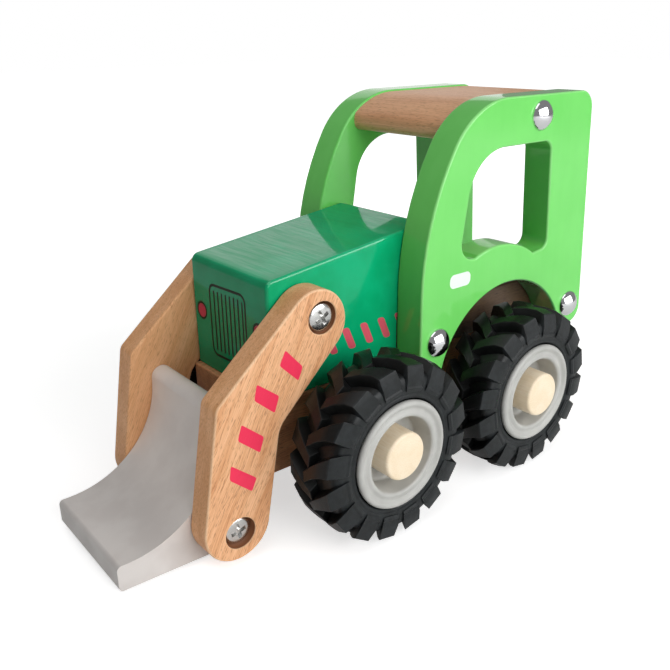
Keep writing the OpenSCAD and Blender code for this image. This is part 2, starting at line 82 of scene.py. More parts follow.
sin_a, cos_a = math.sin(CAMERA_AZIMUTH), math.cos(CAMERA_AZIMUTH)
sin_e, cos_e = math.sin(CAMERA_ELEVATION), math.cos(CAMERA_ELEVATION)
level_right = Vector((cos_a, sin_a, 0))
level_up = Vector((-sin_e * sin_a, sin_e * cos_a, cos_e))
camera_back = Vector((sin_a * cos_e, -cos_a * cos_e, sin_e))
camera_right = level_right * math.cos(CAMERA_TILT) + level_up * math.sin(CAMERA_TILT)
camera_up = level_up * math.cos(CAMERA_TILT) - level_right * math.sin(CAMERA_TILT)

camera_data = bpy.data.cameras.new("camera")
camera_data.lens = LENS_MM
camera_data.sensor_width = 36
camera_data.shift_x, camera_data.shift_y = LENS_SHIFT
camera_data.clip_start = 0.01
camera = bpy.data.objects.new("camera", camera_data)
bpy.context.scene.collection.objects.link(camera)
turn = Matrix((camera_right, camera_up, camera_back)).transposed().to_4x4()
camera.matrix_world = Matrix.Translation(SKETCH_TO_MODEL @ CAMERA_PLACE) @ turn
bpy.context.scene.camera = camera
print("camera at", [round(v, 3) for v in camera.matrix_world.translation])

# %% [markdown]
# ## Sums with shader sockets
# A procedural finish is a long sum of masks. Adding Math nodes by hand hides that sum, so a small class
# wraps a socket and lets Python's own operators add the nodes. One more method makes every other kind of
# node.


# %% A socket that does sums
class Wire:
    """An output socket of a material's nodes."""

    def __init__(self, socket):
        self.socket = socket

    def node(self, kind, settings, sockets, out=0):
        tree = self.socket.id_data
        made = tree.nodes.new("ShaderNode" + kind)
        for name, value in settings.items():
            setattr(made, name, value)
        for name, value in sockets.items():
            if isinstance(value, Wire):
                tree.links.new(made.inputs[name], value.socket)
            else:
                made.inputs[name].default_value = value
        return Wire(made.outputs[out])

    def math(self, operation, *values):
        return self.node("Math", {"operation": operation}, dict(enumerate(values)))

    def __add__(self, other):
        return self.math("ADD", self, other)

    __radd__ = __add__

    def __sub__(self, other):
        return self.math("SUBTRACT", self, other)

    def __rsub__(self, other):
        return self.math("SUBTRACT", other, self)

    def __mul__(self, other):
        return self.math("MULTIPLY", self, other)

    __rmul__ = __mul__

    def __truediv__(self, other):
        return self.math("DIVIDE", self, other)

    def __abs__(self):
        return self.math("ABSOLUTE", self)

    def over(self, low, high):
        """0 where this is under low, 1 where it is over high, and smooth between."""
        return self.node("MapRange", {"interpolation_type": "SMOOTHSTEP"}, {0: self, 1: low, 2: high})

    def higher(self, other):
        return self.math("MAXIMUM", self, other)

    def lower(self, other):
        return self.math("MINIMUM", self, other)

    def dot(self, direction):
        return self.node("VectorMath", {"operation": "DOT_PRODUCT"}, {0: self, 1: direction}, "Value")

    def vector(self, y, z):
        return self.node("CombineXYZ", {}, {0: self, 1: y, 2: z})

    def noise(self, detail=2, scale=1.0):
        """Cloudy values of a vector, about 0 to 1."""
        return self.node("TexNoise", {}, {"Vector": self, "Scale": scale, "Detail": detail})

    def mix(self, colour_a, colour_b):
        """Colour a where this is 0, and colour b where it is 1."""
        return self.node("Mix", {"data_type": "RGBA"}, {0: self, 6: colour_a, 7: colour_b}, 2)


def srgb(red, green, blue):
    """A colour as a screen shows it, made linear for the shader, with an alpha of 1."""
    values = [v / 255 for v in (red, green, blue)]
    return (*(v / 12.92 if v <= 0.04045 else ((v + 0.055) / 1.055) ** 2.4 for v in values), 1)


# %% [markdown]
# ## Starting a finish
# Each finish starts from one Principled shader. Values that are the same all over go straight on its
# sockets. What varies is linked later. Patterns read Object coordinates, changed back to the sketch's
# millimetres, so a print or a plank's grain is placed by the same numbers as the shapes.

# %% Start and end a finish
FINISHES = {}


def new_material(name, **constants):
    """A material, its shader with the values that are the same all over, and its Object coordinates."""
    material = bpy.data.materials.new(name)
    material.use_nodes = True
    shader = material.node_tree.nodes["Principled BSDF"]
    for socket, value in constants.items():
        shader.inputs[socket.replace("_", " ")].default_value = value
    return material, shader, Wire(material.node_tree.nodes.new("ShaderNodeTexCoord").outputs["Object"])


def start_finish(name, **constants):
    """A toy finish's shader, and the place on the toy in the sketch's millimetres."""
    FINISHES[name], shader, coords = new_material(name, **constants)
    to_sketch = {0: coords, 1: (1 / MM,) * 3, 2: (-REAR_AXLE.x / MM, 0, 0)}
    return shader, coords.node("VectorMath", {"operation": "MULTIPLY_ADD"}, to_sketch)


def end_finish(shader, colour, roughness=None, height=None, coat=None):
    """Links what varies. height is in millimetres."""
    normal = height.node("Bump", {}, {"Distance": MM, "Height": height}) if height else None
    varied = {"Base Color": colour, "Roughness": roughness, "Normal": normal, "Coat Weight": coat}
    for socket, value in varied.items():
        if value:
            shader.id_data.links.new(shader.inputs[socket], value.socket)


def axes_of(place):
    return tuple(place.dot(axis) for axis in ((1, 0, 0), (0, 1, 0), (0, 0, 1)))


# %% [markdown]
# ## Natural wood
# Beech has a quiet ground, long soft bands, fine fibres and many short dark flecks, all along one
# direction. A photo texture would do, but stretched noise gives the same parts at a known size: a noise
# whose coordinates are divided by 20 mm along the grain and by half a millimetre across it makes fibres,
# and a sharper cut of another makes flecks.


# %% Wood grain
# Sizes in millimetres, along the grain and across it
WANDER_SIZE, BAND_SIZE, FIBRE_SIZE, FLECK_SIZE = (30, 30), (90, 4.5), (20, 0.4), (2.6, 0.3)
WANDER = 3


def grain_of(place, along, across):
    """Bands, fibres and flecks, each about 0 to 1, of wood that runs in the direction along."""
    third = tuple(Vector(along).cross(Vector(across)))
    u, v, w = place.dot(along), place.dot(across), place.dot(third)

    def stretched(size, v, detail):
        return (u / size[0]).vector(v / size[1], w / size[1]).noise(detail)

    v_wandering = v + WANDER * (stretched(WANDER_SIZE, v, 1) - 0.5)
    bands = stretched(BAND_SIZE, v_wandering, 2)
    fibres = stretched(FIBRE_SIZE, v_wandering, 2)
    flecks = stretched(FLECK_SIZE, v_wandering, 1).over(0.55, 0.7)
    return bands, fibres, flecks


def natural_wood(name, along, across, pale, deep, fleck, fleck_share=0.6, **constants):
    shader, place = start_finish(name, **constants)
    bands, fibres, flecks = grain_of(place, along, across)
    ground = (bands * 0.5 + fibres * 0.5).over(0.34, 0.66).mix(pale, deep)
    colour = (flecks * fleck_share).mix(ground, fleck)
    roughness = 0.36 + 0.14 * fibres + 0.1 * flecks
    height = fibres * 0.02 - flecks * 0.03
    return shader, place, colour, roughness, height


# %% [markdown]
# ## Prints
# The grille, lamps, stripes and door marks are flat screen prints on the lacquer. They could be thin
# plates, but a real print has no thickness worth modelling, so each is a mask: how far a point lies
# outside a rounded rectangle, turned into an edge about a tenth of a millimetre wide. Two more masks find
# the points beside a face and on its rounded edges, so that a print stays on one face and a painted
# highlight can lie on the rounded edges.


# %% Print masks
PRINT_EDGE = 0.06


def outside_box(u, v, centre, half, corner):
    """Distance in millimetres outside a rounded rectangle: under 0 inside it."""
    du = abs(u - centre[0]) - (half[0] - corner)
    dv = abs(v - centre[1]) - (half[1] - corner)
    beyond = du.higher(0) * du.higher(0) + dv.higher(0) * dv.higher(0)
    return beyond.math("SQRT", beyond) + du.higher(dv).lower(0) - corner


def outside_circle(u, v, centre, radius):
    return outside_box(u, v, centre, (radius, radius), radius)


def between(value, low, high, fade):
    """1 between two ends, with a fade inside each."""
    return value.over(low, low + fade) * (1 - value.over(high - fade, high))


def printed(distance):
    return 1 - distance.over(-PRINT_EDGE, PRINT_EDGE)


def outlined(distance, width):
    """A line of that width, inside the edge of a shape."""
    return printed(distance) * (1 - printed(distance + width))


def beside(distance, face, depths):
    """0 where a distance is short of a face by the first depth, and 1 where by the second or less."""
    return distance.over(face - depths[0], face - depths[1])


def rounded_edge(y, outer_y, width):
    """1 on the rounded edges of that width, beside a board's outer face."""
    inward = outer_y - abs(y)
    return inward.over(0.02, 0.12) * (1 - inward.over(width - 0.1, width + 0.05))


# %% [markdown]
# ## The hood's finish
# The hood is a block in gloss sea-green lacquer. It lay flat to dry, so the top has the thickest clear
# coat, and the wood's pores show in its shine as faint streaks across the block. The coat also gathers
# along the top's side edges, which catch the light as a thin line. The front face is a deeper green with
# painted shade, and has a printed grille and two red lamps, and the sides have slanted red stripes. The
# streaks and the bright edges are in the coat's weight, and the dark prints are matte.

# %% Hood lacquer
# The lacquer's two greens, and the darker green of the painted shade on the front face
HOOD_GREEN, HOOD_DEEP, HOOD_SHADE = srgb(14, 178, 122), srgb(6, 164, 108), srgb(26, 52, 28)
PRINT_DARK, LAMP_RED, STRIPE_RED = srgb(2, 30, 18), srgb(238, 62, 98), srgb(219, 90, 107)
GRILLE = {"centre": (-0.6, 69.0), "half": (12.0, 13.7), "corner": 3.6}
BARS = {"centre": (-0.6, 69.0), "half": (10.2, 11.2), "corner": 1.6}
GRILLE_LINE, GRILLE_BAR, GRILLE_PITCH, GRILLE_TILT = 1.0, 1.0, 2.62, 0.045
LAMP_Y, LAMP_Z, LAMP_R, LAMP_RIM = 18.4, 71.0, 3.5, 0.9
STRIPE_X, STRIPE_Z = (75.4, 67.2, 58.9, 50.7, 42.4), 63.0
STRIPE_HALF, STRIPE_LEAN, STRIPE_CORNER = (1.6, 4.2), math.radians(23), 1.1
HOOD_FRONT, HOOD_REAR, HOOD_FRONT_Z, HOOD_RISE, HALF_W = 101, 29, 90.5, 8.4, 24
PRINT_DEPTHS, PRINT_MATTE = (0.6, 0.5), 0.4
# Where the painted shade on the front face starts, and its share
SHADE_DEPTHS, SHADE_SHARE = (1.5, 0.5), 0.3
COAT_END_DEPTHS, COAT_SIDE_DEPTHS = (5, 2.5), (3.5, 1.5)
BRIGHT_SIDE_DEPTHS, BRIGHT_TOP_DEPTHS = (1.3, 1), (1.4, 1.1)


def lacquer(name, light, deep, grain_along, grain_across, gloss, streak):
    """Gloss paint over wood: the shader, the place, and the paint's colour, roughness, height and coat."""
    shader, place = start_finish(name, Specular_IOR_Level=gloss, Coat_Roughness=0.03)
    bands, fibres, flecks = grain_of(place, grain_along, grain_across)
    cloud = place.noise(2, 0.06)
    colour = (bands * 0.3 + cloud * 0.7).over(0.35, 0.65).mix(light, deep)
    height = fibres * 0.004 + bands * 0.01 - flecks * 0.003
    return shader, place, colour, 0.02 + 0.04 * fibres, height, streak * fibres.over(0.4, 0.6)


def hood_prints(place):
    x, y, z = axes_of(place)
    on_front = beside(x, HOOD_FRONT, PRINT_DEPTHS)
    front_z = z - y * GRILLE_TILT
    frame_line = outlined(outside_box(y, front_z, **GRILLE), GRILLE_LINE)
    turns = y / GRILLE_PITCH
    across_bar = abs(turns.math("FRACT", turns) - 0.5) * GRILLE_PITCH
    bars = printed(across_bar - GRILLE_BAR / 2) * printed(outside_box(y, front_z, **BARS))
    lamp_distance = outside_circle(abs(y), front_z, (LAMP_Y, LAMP_Z), LAMP_R)
    lamp_rim = outlined(lamp_distance, LAMP_RIM)
    lamp = printed(lamp_distance + LAMP_RIM)
    dark = frame_line.higher(bars).higher(lamp_rim) * on_front

    on_side = beside(abs(y), HALF_W, PRINT_DEPTHS)
    leaning_x = x - (z - STRIPE_Z) * math.tan(STRIPE_LEAN)
    stripes = [outside_box(leaning_x, z, (at, STRIPE_Z), STRIPE_HALF, STRIPE_CORNER) for at in STRIPE_X]
    return dark, lamp * on_front, printed(reduce(Wire.lower, stripes)) * on_side


shader, place, colour, roughness, height, coat = lacquer(
    "hood_lacquer", HOOD_GREEN, HOOD_DEEP, (0, 1, 0), (1, 0, 0), gloss=0.2, streak=0.55,
)
dark, lamps, stripes = hood_prints(place)
colour = stripes.mix(lamps.mix(dark.mix(colour, PRINT_DARK), LAMP_RED), STRIPE_RED)
x, y, z = axes_of(place)
# Painted shade: the whole front face is mixed a share of the way towards a darker green
colour = (SHADE_SHARE * beside(x, HOOD_FRONT, SHADE_DEPTHS)).mix(colour, HOOD_SHADE)
top_z = HOOD_FRONT_Z + (HOOD_FRONT - x) * (HOOD_RISE / (HOOD_FRONT - HOOD_REAR))
on_top = (1 - beside(x, HOOD_FRONT, COAT_END_DEPTHS)) * (1 - beside(abs(y), HALF_W, COAT_SIDE_DEPTHS))
along_edge = beside(abs(y), HALF_W, BRIGHT_SIDE_DEPTHS) * beside(z - top_z, 0, BRIGHT_TOP_DEPTHS)
end_finish(shader, colour, roughness + PRINT_MATTE * dark, height, (coat * on_top).higher(along_edge))
print("hood finish", len(shader.id_data.nodes), "nodes")

# %% [markdown]
# ## The cab panels' finish
# The same gloss lacquer in a light yellow-green, with a small white door mark on each outer face. The
# boards' grain runs upright, so the faint streaks in the shine do too. Painted shade makes the wheel
# arch, the window's rear cut and the foot of the curved front edge a deeper green. A painted highlight
# makes the rounded outer edges and the window's sill a little paler. The measures of the arch, the window
# and the front are named here, and the boards are sawn to them later.

# %% Cab lacquer
CAB_GREEN, CAB_DEEP, DOOR_WHITE = srgb(120, 221, 108), srgb(115, 217, 103), srgb(238, 247, 241)
DOOR, DOOR_DEPTHS = {"centre": (25.2, 78.7), "half": (5.4, 2.6), "corner": 2.1}, (1, 0.8)
PANEL_OUTER_Y, PANEL_EDGE = 37, 0.9
# The darker green of the painted shade in the cuts, and its share in the arch and the window's cut
SHADE_GREEN, ARCH_SHADE_SHARE, WINDOW_SHADE_SHARE, CUT_FADE = srgb(69, 149, 75), 0.9, 0.45, 3
# The paler green of the painted highlight on the edges and the sill, and its share on the edges
HIGHLIGHT_GREEN, EDGE_HIGHLIGHT_SHARE = srgb(188, 252, 176), 0.28
ARCH, ARCH_R = (-2.4, 35.4), 36.7
PANEL_LEAN = 5.6 / 96.3
SILL_Z, WINDOW_TOP, WINDOW_REAR = 81.8, 124.0, -25.2
SWELL, SWELL_R = (4, 52), 36
# Painted light on the window's sill: its share, its ends and their fade
SILL_LIGHT_SHARE, SILL_X, SILL_FADE = 0.35, (-17, 16), 1
PANEL_FRONT = (SKETCH_TO_MODEL.inverted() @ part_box("cab_base")[1]).x
# Painted shade at the foot of the front edge: its share, the heights where it fades, and its depths
LOW_SHADE_SHARE, LOW_Z, LOW_FADE_Z, LOW_DEPTHS = 0.5, 75, 115, (5, 3)
# Where a mask fades, in millimetres from a cut
ARCH_LINING, ARCH_CLEAR, SILL_EDGE = (0.3, 0.8), (1.2, 1.5), (0.2, 0.5)
CUT_START, CUT_END = (-0.3, -0.1), (1, 3)

shader, place, colour, roughness, height, coat = lacquer(
    "cab_lacquer", CAB_GREEN, CAB_DEEP, (0, 0, 1), (1, 0, 0), gloss=0.45, streak=0.1,
)
x, y, z = axes_of(place)
within = 1 - beside(abs(y), PANEL_OUTER_Y, (PANEL_EDGE, PANEL_EDGE / 2))
from_arch = outside_circle(x, z, ARCH, ARCH_R)
in_arch = 1 - from_arch.over(*ARCH_LINING)
from_cut = x - PANEL_LEAN * (z - SILL_Z) - WINDOW_REAR
in_window = from_cut.over(*CUT_START) * (1 - from_cut.over(*CUT_END))
in_window = in_window * between(z, SILL_Z, WINDOW_TOP, CUT_FADE)
low_front = beside(x, PANEL_FRONT, LOW_DEPTHS) * (1 - z.over(LOW_Z, LOW_FADE_Z))
# Painted shade: the arch's lining, the window's rear cut and the foot of the front edge go darker green
deep = (ARCH_SHADE_SHARE * in_arch).higher((WINDOW_SHADE_SHARE * in_window).higher(LOW_SHADE_SHARE * low_front) * within)
colour = deep.mix(colour, SHADE_GREEN)
# Painted light: the window's sill is mixed towards a paler green
on_swell = 1 - abs(outside_circle(x, z, SWELL, SWELL_R)).over(*SILL_EDGE)
on_sill = on_swell * between(x, *SILL_X, SILL_FADE)
colour = (SILL_LIGHT_SHARE * on_sill * within).mix(colour, HIGHLIGHT_GREEN)
# Painted highlight: the rounded outer edges, clear of the arch, are mixed towards a paler green
edge_highlight = rounded_edge(y, PANEL_OUTER_Y, PANEL_EDGE) * from_arch.over(*ARCH_CLEAR)
colour = (EDGE_HIGHLIGHT_SHARE * edge_highlight).mix(colour, HIGHLIGHT_GREEN)
door = printed(outside_box(x, z, **DOOR)) * beside(abs(y), PANEL_OUTER_Y, DOOR_DEPTHS)
end_finish(shader, door.mix(colour, DOOR_WHITE), roughness, height, coat)
print("cab finish", len(shader.id_data.nodes), "nodes")

# %% [markdown]
# ## The arms' finish
# The arms are clear-lacquered beech cut from a board whose grain runs from the blade to the pivot. Four
# red marks are printed on each outer face. They are slanted four-sided shapes, so each mask is the
# furthest of four edges' distances, and a smooth maximum rounds its corners. Painted light makes the
# sawn edges a little lighter and warmer than the face, a painted highlight makes the rounded outer edges
# paler, and painted shade makes the counterbores brown.

# %% Arm wood
PIVOT, FOOT, BORE_R, BORE_RIM = (86.4, 77.9), (121.7, 12.0), 5.6, 0.1
ARM_OUTER_Y, ARM_EDGE = 34.1, 0.8
# The paler beech of the painted highlight on the rounded outer edges, and its share
HIGHLIGHT_BEECH, ARM_HIGHLIGHT_SHARE = srgb(255, 222, 182), 0.42
ARM_ALONG = Vector((PIVOT[0] - FOOT[0], 0, PIVOT[1] - FOOT[1])).normalized()
ARM_ACROSS = ARM_ALONG.cross(Vector((0, 1, 0)))
BEECH_PALE, BEECH_DEEP, BEECH_FLECK = srgb(242, 191, 147), srgb(214, 153, 106), srgb(157, 98, 60)
# The lighter, warmer beech of the painted light on the sawn edges, and its share
BEECH_EDGE_LIGHT, EDGE_LIGHT_SHARE = srgb(255, 189, 128), 0.3
# The marks' printed red, and the brown of the painted shade in the counterbores
MARK_RED, BORE_SHADE = srgb(239, 56, 90), srgb(128, 80, 50)
# Each mark: its four corners in the side view, in order
MARKS = (
    ((101.4, 70.4), (95.2, 63.4), (96.9, 59.4), (103.6, 66.2)),
    ((112.5, 62.0), (104.8, 55.9), (106.6, 51.0), (113.6, 57.3)),
    ((118.9, 50.2), (111.3, 43.6), (112.9, 39.0), (120.4, 45.6)),
    ((123.6, 37.4), (114.9, 30.0), (116.7, 26.2), (124.3, 33.0)),
)
MARK_ROUND, MARK_SPREAD, MARK_DEPTHS = 1.2, 0.25, (0.6, 0.4)


def outside_corners(u, v, corners):
    """Distance outside a four-sided shape, as the furthest of its four edges' distances."""
    centre = [sum(c[k] for c in corners) / 4 for k in (0, 1)]
    furthest = None
    for (u1, v1), (u2, v2) in zip(corners, corners[1:] + corners[:1]):
        normal = Vector((v2 - v1, u1 - u2)).normalized()
        if normal.dot(Vector(centre) - Vector((u1, v1))) > 0:
            normal = -normal
        distance = u * normal.x + v * normal.y - (u1 * normal.x + v1 * normal.y)
        furthest = furthest.math("SMOOTH_MAX", furthest, distance, MARK_ROUND) if furthest else distance
    return furthest - MARK_SPREAD


shader, place, colour, roughness, height = natural_wood(
    "arm_beech", tuple(ARM_ALONG), tuple(ARM_ACROSS), BEECH_PALE, BEECH_DEEP, BEECH_FLECK,
    Coat_Weight=0.03, Coat_Roughness=0.22, Specular_IOR_Level=0.2,
)
x, y, z = axes_of(place)
on_face = beside(abs(y), ARM_OUTER_Y, MARK_DEPTHS)
bores = outside_circle(x, z, PIVOT, BORE_R).lower(outside_circle(x, z, FOOT, BORE_R))
marks = printed(reduce(Wire.lower, [outside_corners(x, z, corners) for corners in MARKS]))
# The red marks are printed on the face, and painted light makes the sawn edges lighter and warmer
colour = ((1 - on_face) * EDGE_LIGHT_SHARE).mix((marks * on_face).mix(colour, MARK_RED), BEECH_EDGE_LIGHT)
# Painted highlight on the rounded outer edges
colour = (ARM_HIGHLIGHT_SHARE * rounded_edge(y, ARM_OUTER_Y, ARM_EDGE)).mix(colour, HIGHLIGHT_BEECH)
# Painted shade: the counterbores' walls and floors are mixed to brown
end_finish(shader, (printed(bores - BORE_RIM) * (1 - on_face)).mix(colour, BORE_SHADE), roughness, height)
print("arm finish", len(shader.id_data.nodes), "nodes")

# %% [markdown]
# ## Roof, chassis, caps and hidden wood
# The roof board is stained a pinkish brown with streaks from side to side. The chassis is a brown wood
# made paler with painted light, and the board under the cab is much darker with painted shade. The turned
# caps are almost cream. All are the same grain with other colours and directions.

# %% Other woods
# Each wood: its grain's direction and the one across, its pale, deep and fleck colours, and the flecks' share
WOODS = {
    "roof_wood": ((0, 1, 0), (1, 0, 0), srgb(243, 188, 142), srgb(222, 162, 116), srgb(164, 108, 70), 0.5),
    # Painted light: the chassis's colours are made paler, lighting it where the hood shades it
    "chassis_wood": ((1, 0, 0), (0, 0, 1), srgb(206, 152, 110), srgb(178, 124, 86), srgb(118, 76, 50), 0.6),
    # Painted shade: the base board's colours are much darker, as the cab shades it
    "base_wood": ((1, 0, 0), (0, 0, 1), srgb(98, 74, 50), srgb(75, 54, 36), srgb(45, 31, 22), 0.6),
    "cap_wood": ((0, 1, 0), (1, 0, 0), srgb(250, 234, 208), srgb(244, 224, 192), srgb(224, 193, 152), 0.25),
    "plain_wood": ((0, 0, 1), (1, 0, 0), srgb(222, 184, 140), srgb(204, 160, 114), srgb(160, 112, 72), 0.5),
}
for name, wood in WOODS.items():
    shader, place, colour, roughness, height = natural_wood(name, *wood, Coat_Weight=0.1, Coat_Roughness=0.2)
    end_finish(shader, colour, roughness, height)
print("woods", list(WOODS))

# %% [markdown]
# ## Blade paint, rim plastic, rubber and metal
# The blade is warm-grey satin paint with a faint orange-peel skin. Painted light makes it paler up in the
# hollow, and painted shade makes it darker towards the lip. The rims are satin plastic. The tyres are
# black rubber, greyer on the raised side walls, partly with dust and partly with a painted sheen. The rear
# wheels sit a little closer in than the front ones, so the side walls are found separately for each pair.
# The bolts are chrome and the screws zinc-plated, both with light handling marks in their roughness.

# %% Paint, plastic, rubber and metal
WHEEL_BASE, WHEEL_Y = 72, {"front": 46.4, "rear": 45.0}
FLANK_OUT, FLANK_DEPTHS = 9.4, (0.6, -0.1)
# Heights in millimetres: painted shade at the lip below the first, painted light above the second
SHADE_BELOW_Z, LIGHT_ABOVE_Z = 11, 24
shader, place = start_finish("blade_paint", Coat_Weight=0.25, Coat_Roughness=0.25)
cloud, skin = place.noise(3, 0.08), place.noise(2, 1.6)
z = place.dot((0, 0, 1))
# Painted light in the hollow and painted shade at the lip: the paint is paler high up, darker low down
hollow_lit = cloud.over(0.35, 0.65).mix(srgb(238, 231, 225), srgb(231, 223, 217))
lip_shaded = cloud.over(0.35, 0.65).mix(srgb(213, 208, 204), srgb(205, 199, 195))
end_finish(shader, z.over(SHADE_BELOW_Z, LIGHT_ABOVE_Z).mix(lip_shaded, hollow_lit), 0.42 + 0.14 * cloud, skin * 0.012 + cloud * 0.1)

shader, place = start_finish("rim_plastic")
cloud, skin = place.noise(2, 0.12), place.noise(2, 2.5)
colour = cloud.over(0.35, 0.65).mix(srgb(188, 188, 184), srgb(178, 178, 174))
end_finish(shader, colour, 0.34 + 0.12 * cloud, skin * 0.008)

shader, place = start_finish("tyre_rubber", Specular_IOR_Level=0.28)
cloud, skin, dust = place.noise(3, 0.12), place.noise(3, 3.0), place.noise(4, 0.5)
x, y = place.dot((1, 0, 0)), place.dot((0, 1, 0))
in_front = x.over(WHEEL_BASE / 2 - 0.1, WHEEL_BASE / 2 + 0.1)
wheel_y = WHEEL_Y["rear"] + (WHEEL_Y["front"] - WHEEL_Y["rear"]) * in_front
flank = beside(abs(y) - wheel_y, FLANK_OUT, FLANK_DEPTHS)
black = (cloud * 0.5 + dust * 0.5).over(0.4, 0.7).mix(srgb(13, 14, 14), srgb(21, 23, 23))
# The side walls are greyer, partly with dust and partly with a painted sheen
dust_and_sheen = (cloud * 0.4 + dust * 0.6).over(0.35, 0.7).mix(srgb(24, 27, 28), srgb(36, 40, 42))
end_finish(shader, flank.mix(black, dust_and_sheen), 0.3 + 0.16 * cloud, skin * 0.05)

shader, place = start_finish("bolt_chrome", Metallic=1)
cloud = place.noise(3, 0.7)
end_finish(shader, cloud.mix(srgb(232, 232, 234), srgb(222, 222, 226)), 0.04 + 0.08 * cloud)

shader, place = start_finish("screw_zinc", Metallic=1)
cloud = place.noise(3, 1.2)
scratch = (place.dot((1, 0, 0)) * 6).vector(place.dot((0, 0, 1)), 0).noise(2)
end_finish(shader, cloud.mix(srgb(226, 226, 224), srgb(196, 196, 194)), 0.12 + 0.2 * scratch, cloud * 0.03)

shader, place = start_finish("axle_steel", Metallic=1)
lathe_marks = (place.dot((0, 1, 0)) * 8).vector(place.dot((1, 0, 0)), place.dot((0, 0, 1))).noise(2)
end_finish(shader, lathe_marks.mix(srgb(196, 196, 198), srgb(168, 168, 170)), 0.2 + 0.25 * lathe_marks)
print("finishes", sorted(FINISHES))

# %% [markdown]
# ## Drawing an outline
# Boards like these are sawn to a pencilled outline of straight lines and compass arcs. Here the compass is
# the spin operator: it turns one vertex about a centre and leaves a chain of edges behind. Joining the
# chains end to end gives a closed outline, and filling it gives one face to saw out.

# %% Outline helpers
ARC_STEP, SAME_POINT, SHARP_EDGE = 4, 0.001, math.radians(35)


def on_circle(centre, radius, angle):
    angle = math.radians(angle)
    return centre[0] + radius * math.cos(angle), centre[1] + radius * math.sin(angle)


def shared_edge(c1, r1, c2, r2, side):
    """Angle at which two circles' shared straight edge touches the first, on the left (1) or right (-1)."""
    dx, dz = c2[0] - c1[0], c2[1] - c1[1]
    return math.degrees(math.atan2(dz, dx) + side * math.acos((r1 - r2) / math.hypot(dx, dz)))


def draw(bm, *stops, y=0):
    """Draws a closed outline in the side view, of points (x, z) and arcs (centre, radius, from, to)."""
    ends, edges = [], []
    for stop in stops:
        if len(stop) == 2:
            x, z = stop
            first = last = bmesh.ops.create_vert(bm, co=(x, y, z))["vert"][0]
        else:
            centre, radius, start, end = stop
            x, z = on_circle(centre, radius, start)
            first = bmesh.ops.create_vert(bm, co=(x, y, z))["vert"][0]
            before = set(bm.edges)
            spun = bmesh.ops.spin(
                bm, geom=[first], cent=(centre[0], y, centre[1]), axis=(0, -1, 0),
                angle=math.radians(end - start), steps=max(2, math.ceil(abs(end - start) / ARC_STEP)),
            )
            last = next(v for v in spun["geom_last"] if isinstance(v, bmesh.types.BMVert))
            edges += [e for e in bm.edges if e not in before]
        ends.append((first, last))
    for (_, last), (first, _) in zip(ends, ends[1:] + ends[:1]):
        edges.append(bm.edges.new((last, first)))
    return edges


def fill(bm, edges):
    return bmesh.ops.edgeloop_fill(bm, edges=edges)["faces"]


def fill_halves(bm, *halves):
    """Fills the halves of a face that has holes, and joins them where they meet."""
    for edges in halves:
        fill(bm, edges)
    bmesh.ops.remove_doubles(bm, verts=bm.verts, dist=SAME_POINT)


def thicken(bm, faces, to):
    """Saws a flat face out as a board, by extruding it along y."""
    made = bmesh.ops.extrude_face_region(bm, geom=faces)["geom"]
    bmesh.ops.translate(bm, verts=[g for g in made if isinstance(g, bmesh.types.BMVert)], vec=(0, to, 0))
    bmesh.ops.recalc_face_normals(bm, faces=bm.faces)


def sawn(*stops):
    """A block as wide as the toy's body, sawn to an outline."""
    bm = bmesh.new()
    thicken(bm, fill(bm, draw(bm, *stops, y=-HALF_W)), 2 * HALF_W)
    return bm


def soften(bm, radius, keep=None, segments=3):
    """Rounds the sharp edges as sandpaper would. keep picks which of them."""
    sharp = [e for e in bm.edges if e.is_manifold and e.calc_face_angle() > SHARP_EDGE]
    if keep:
        sharp = [e for e in sharp if keep(*(v.co for v in e.verts))]
    bmesh.ops.bevel(
        bm, geom=sharp, offset=radius, offset_type="OFFSET", affect="EDGES", segments=segments, profile=0.5,
        material=-1, clamp_overlap=True, loop_slide=True,
    )


# %% [markdown]
# ## Finishing a piece
# Every piece ends the same way: its mesh goes from the sketch to the model's frame, its faces are shaded
# smooth with normals that follow the large flat faces, and it rides on the CAD body that carries it. The
# CAD solids it stands for are hidden by name.


# %% Finish a piece
SHARP_ANGLE = math.radians(40)
SIDES = ((1, "left"), (-1, "right"))


def as_object(bm, name):
    mesh = bpy.data.meshes.new(name)
    bm.to_mesh(mesh)
    bm.free()
    made = bpy.data.objects.new(name, mesh)
    bpy.context.scene.collection.objects.link(made)
    return made


def finish_piece(bm, name, body, finish, slot, *stands_for, round_piece=False):
    bmesh.ops.transform(bm, matrix=SKETCH_TO_MODEL, verts=bm.verts)
    for face in bm.faces:
        face.smooth = True
    for edge in bm.edges if round_piece else ():
        edge.smooth = edge.calc_face_angle(0) < SHARP_ANGLE
    piece = as_object(bm, name)
    piece.data.materials.append(FINISHES[finish])
    if not round_piece:
        normals = piece.modifiers.new("flat faces stay flat", "WEIGHTED_NORMAL")
        normals.weight = 100
    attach(piece, body)
    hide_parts(*stands_for)
    print(name, len(piece.data.polygons), "faces")


# %% [markdown]
# ## Chassis and base board
# Both are straight-sawn blocks with their edges eased by sandpaper. A cube, stretched to size and
# bevelled, is all that they need. The sizes come from the CAD boxes.


# %% Chassis and base board
def block(name, node, finish, slot, edge):
    low, high = (SKETCH_TO_MODEL.inverted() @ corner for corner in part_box(node))
    bm = bmesh.new()
    bmesh.ops.create_cube(bm, size=1)
    bmesh.ops.scale(bm, verts=bm.verts, vec=high - low)
    bmesh.ops.translate(bm, verts=bm.verts, vec=(low + high) / 2)
    soften(bm, edge)
    finish_piece(bm, name, "body", finish, slot, node)


block("chassis_block", "chassis", "chassis_wood", "brown_wood", edge=0.9)
block("base_board", "cab_base", "base_wood", "brown_wood", edge=0.8)

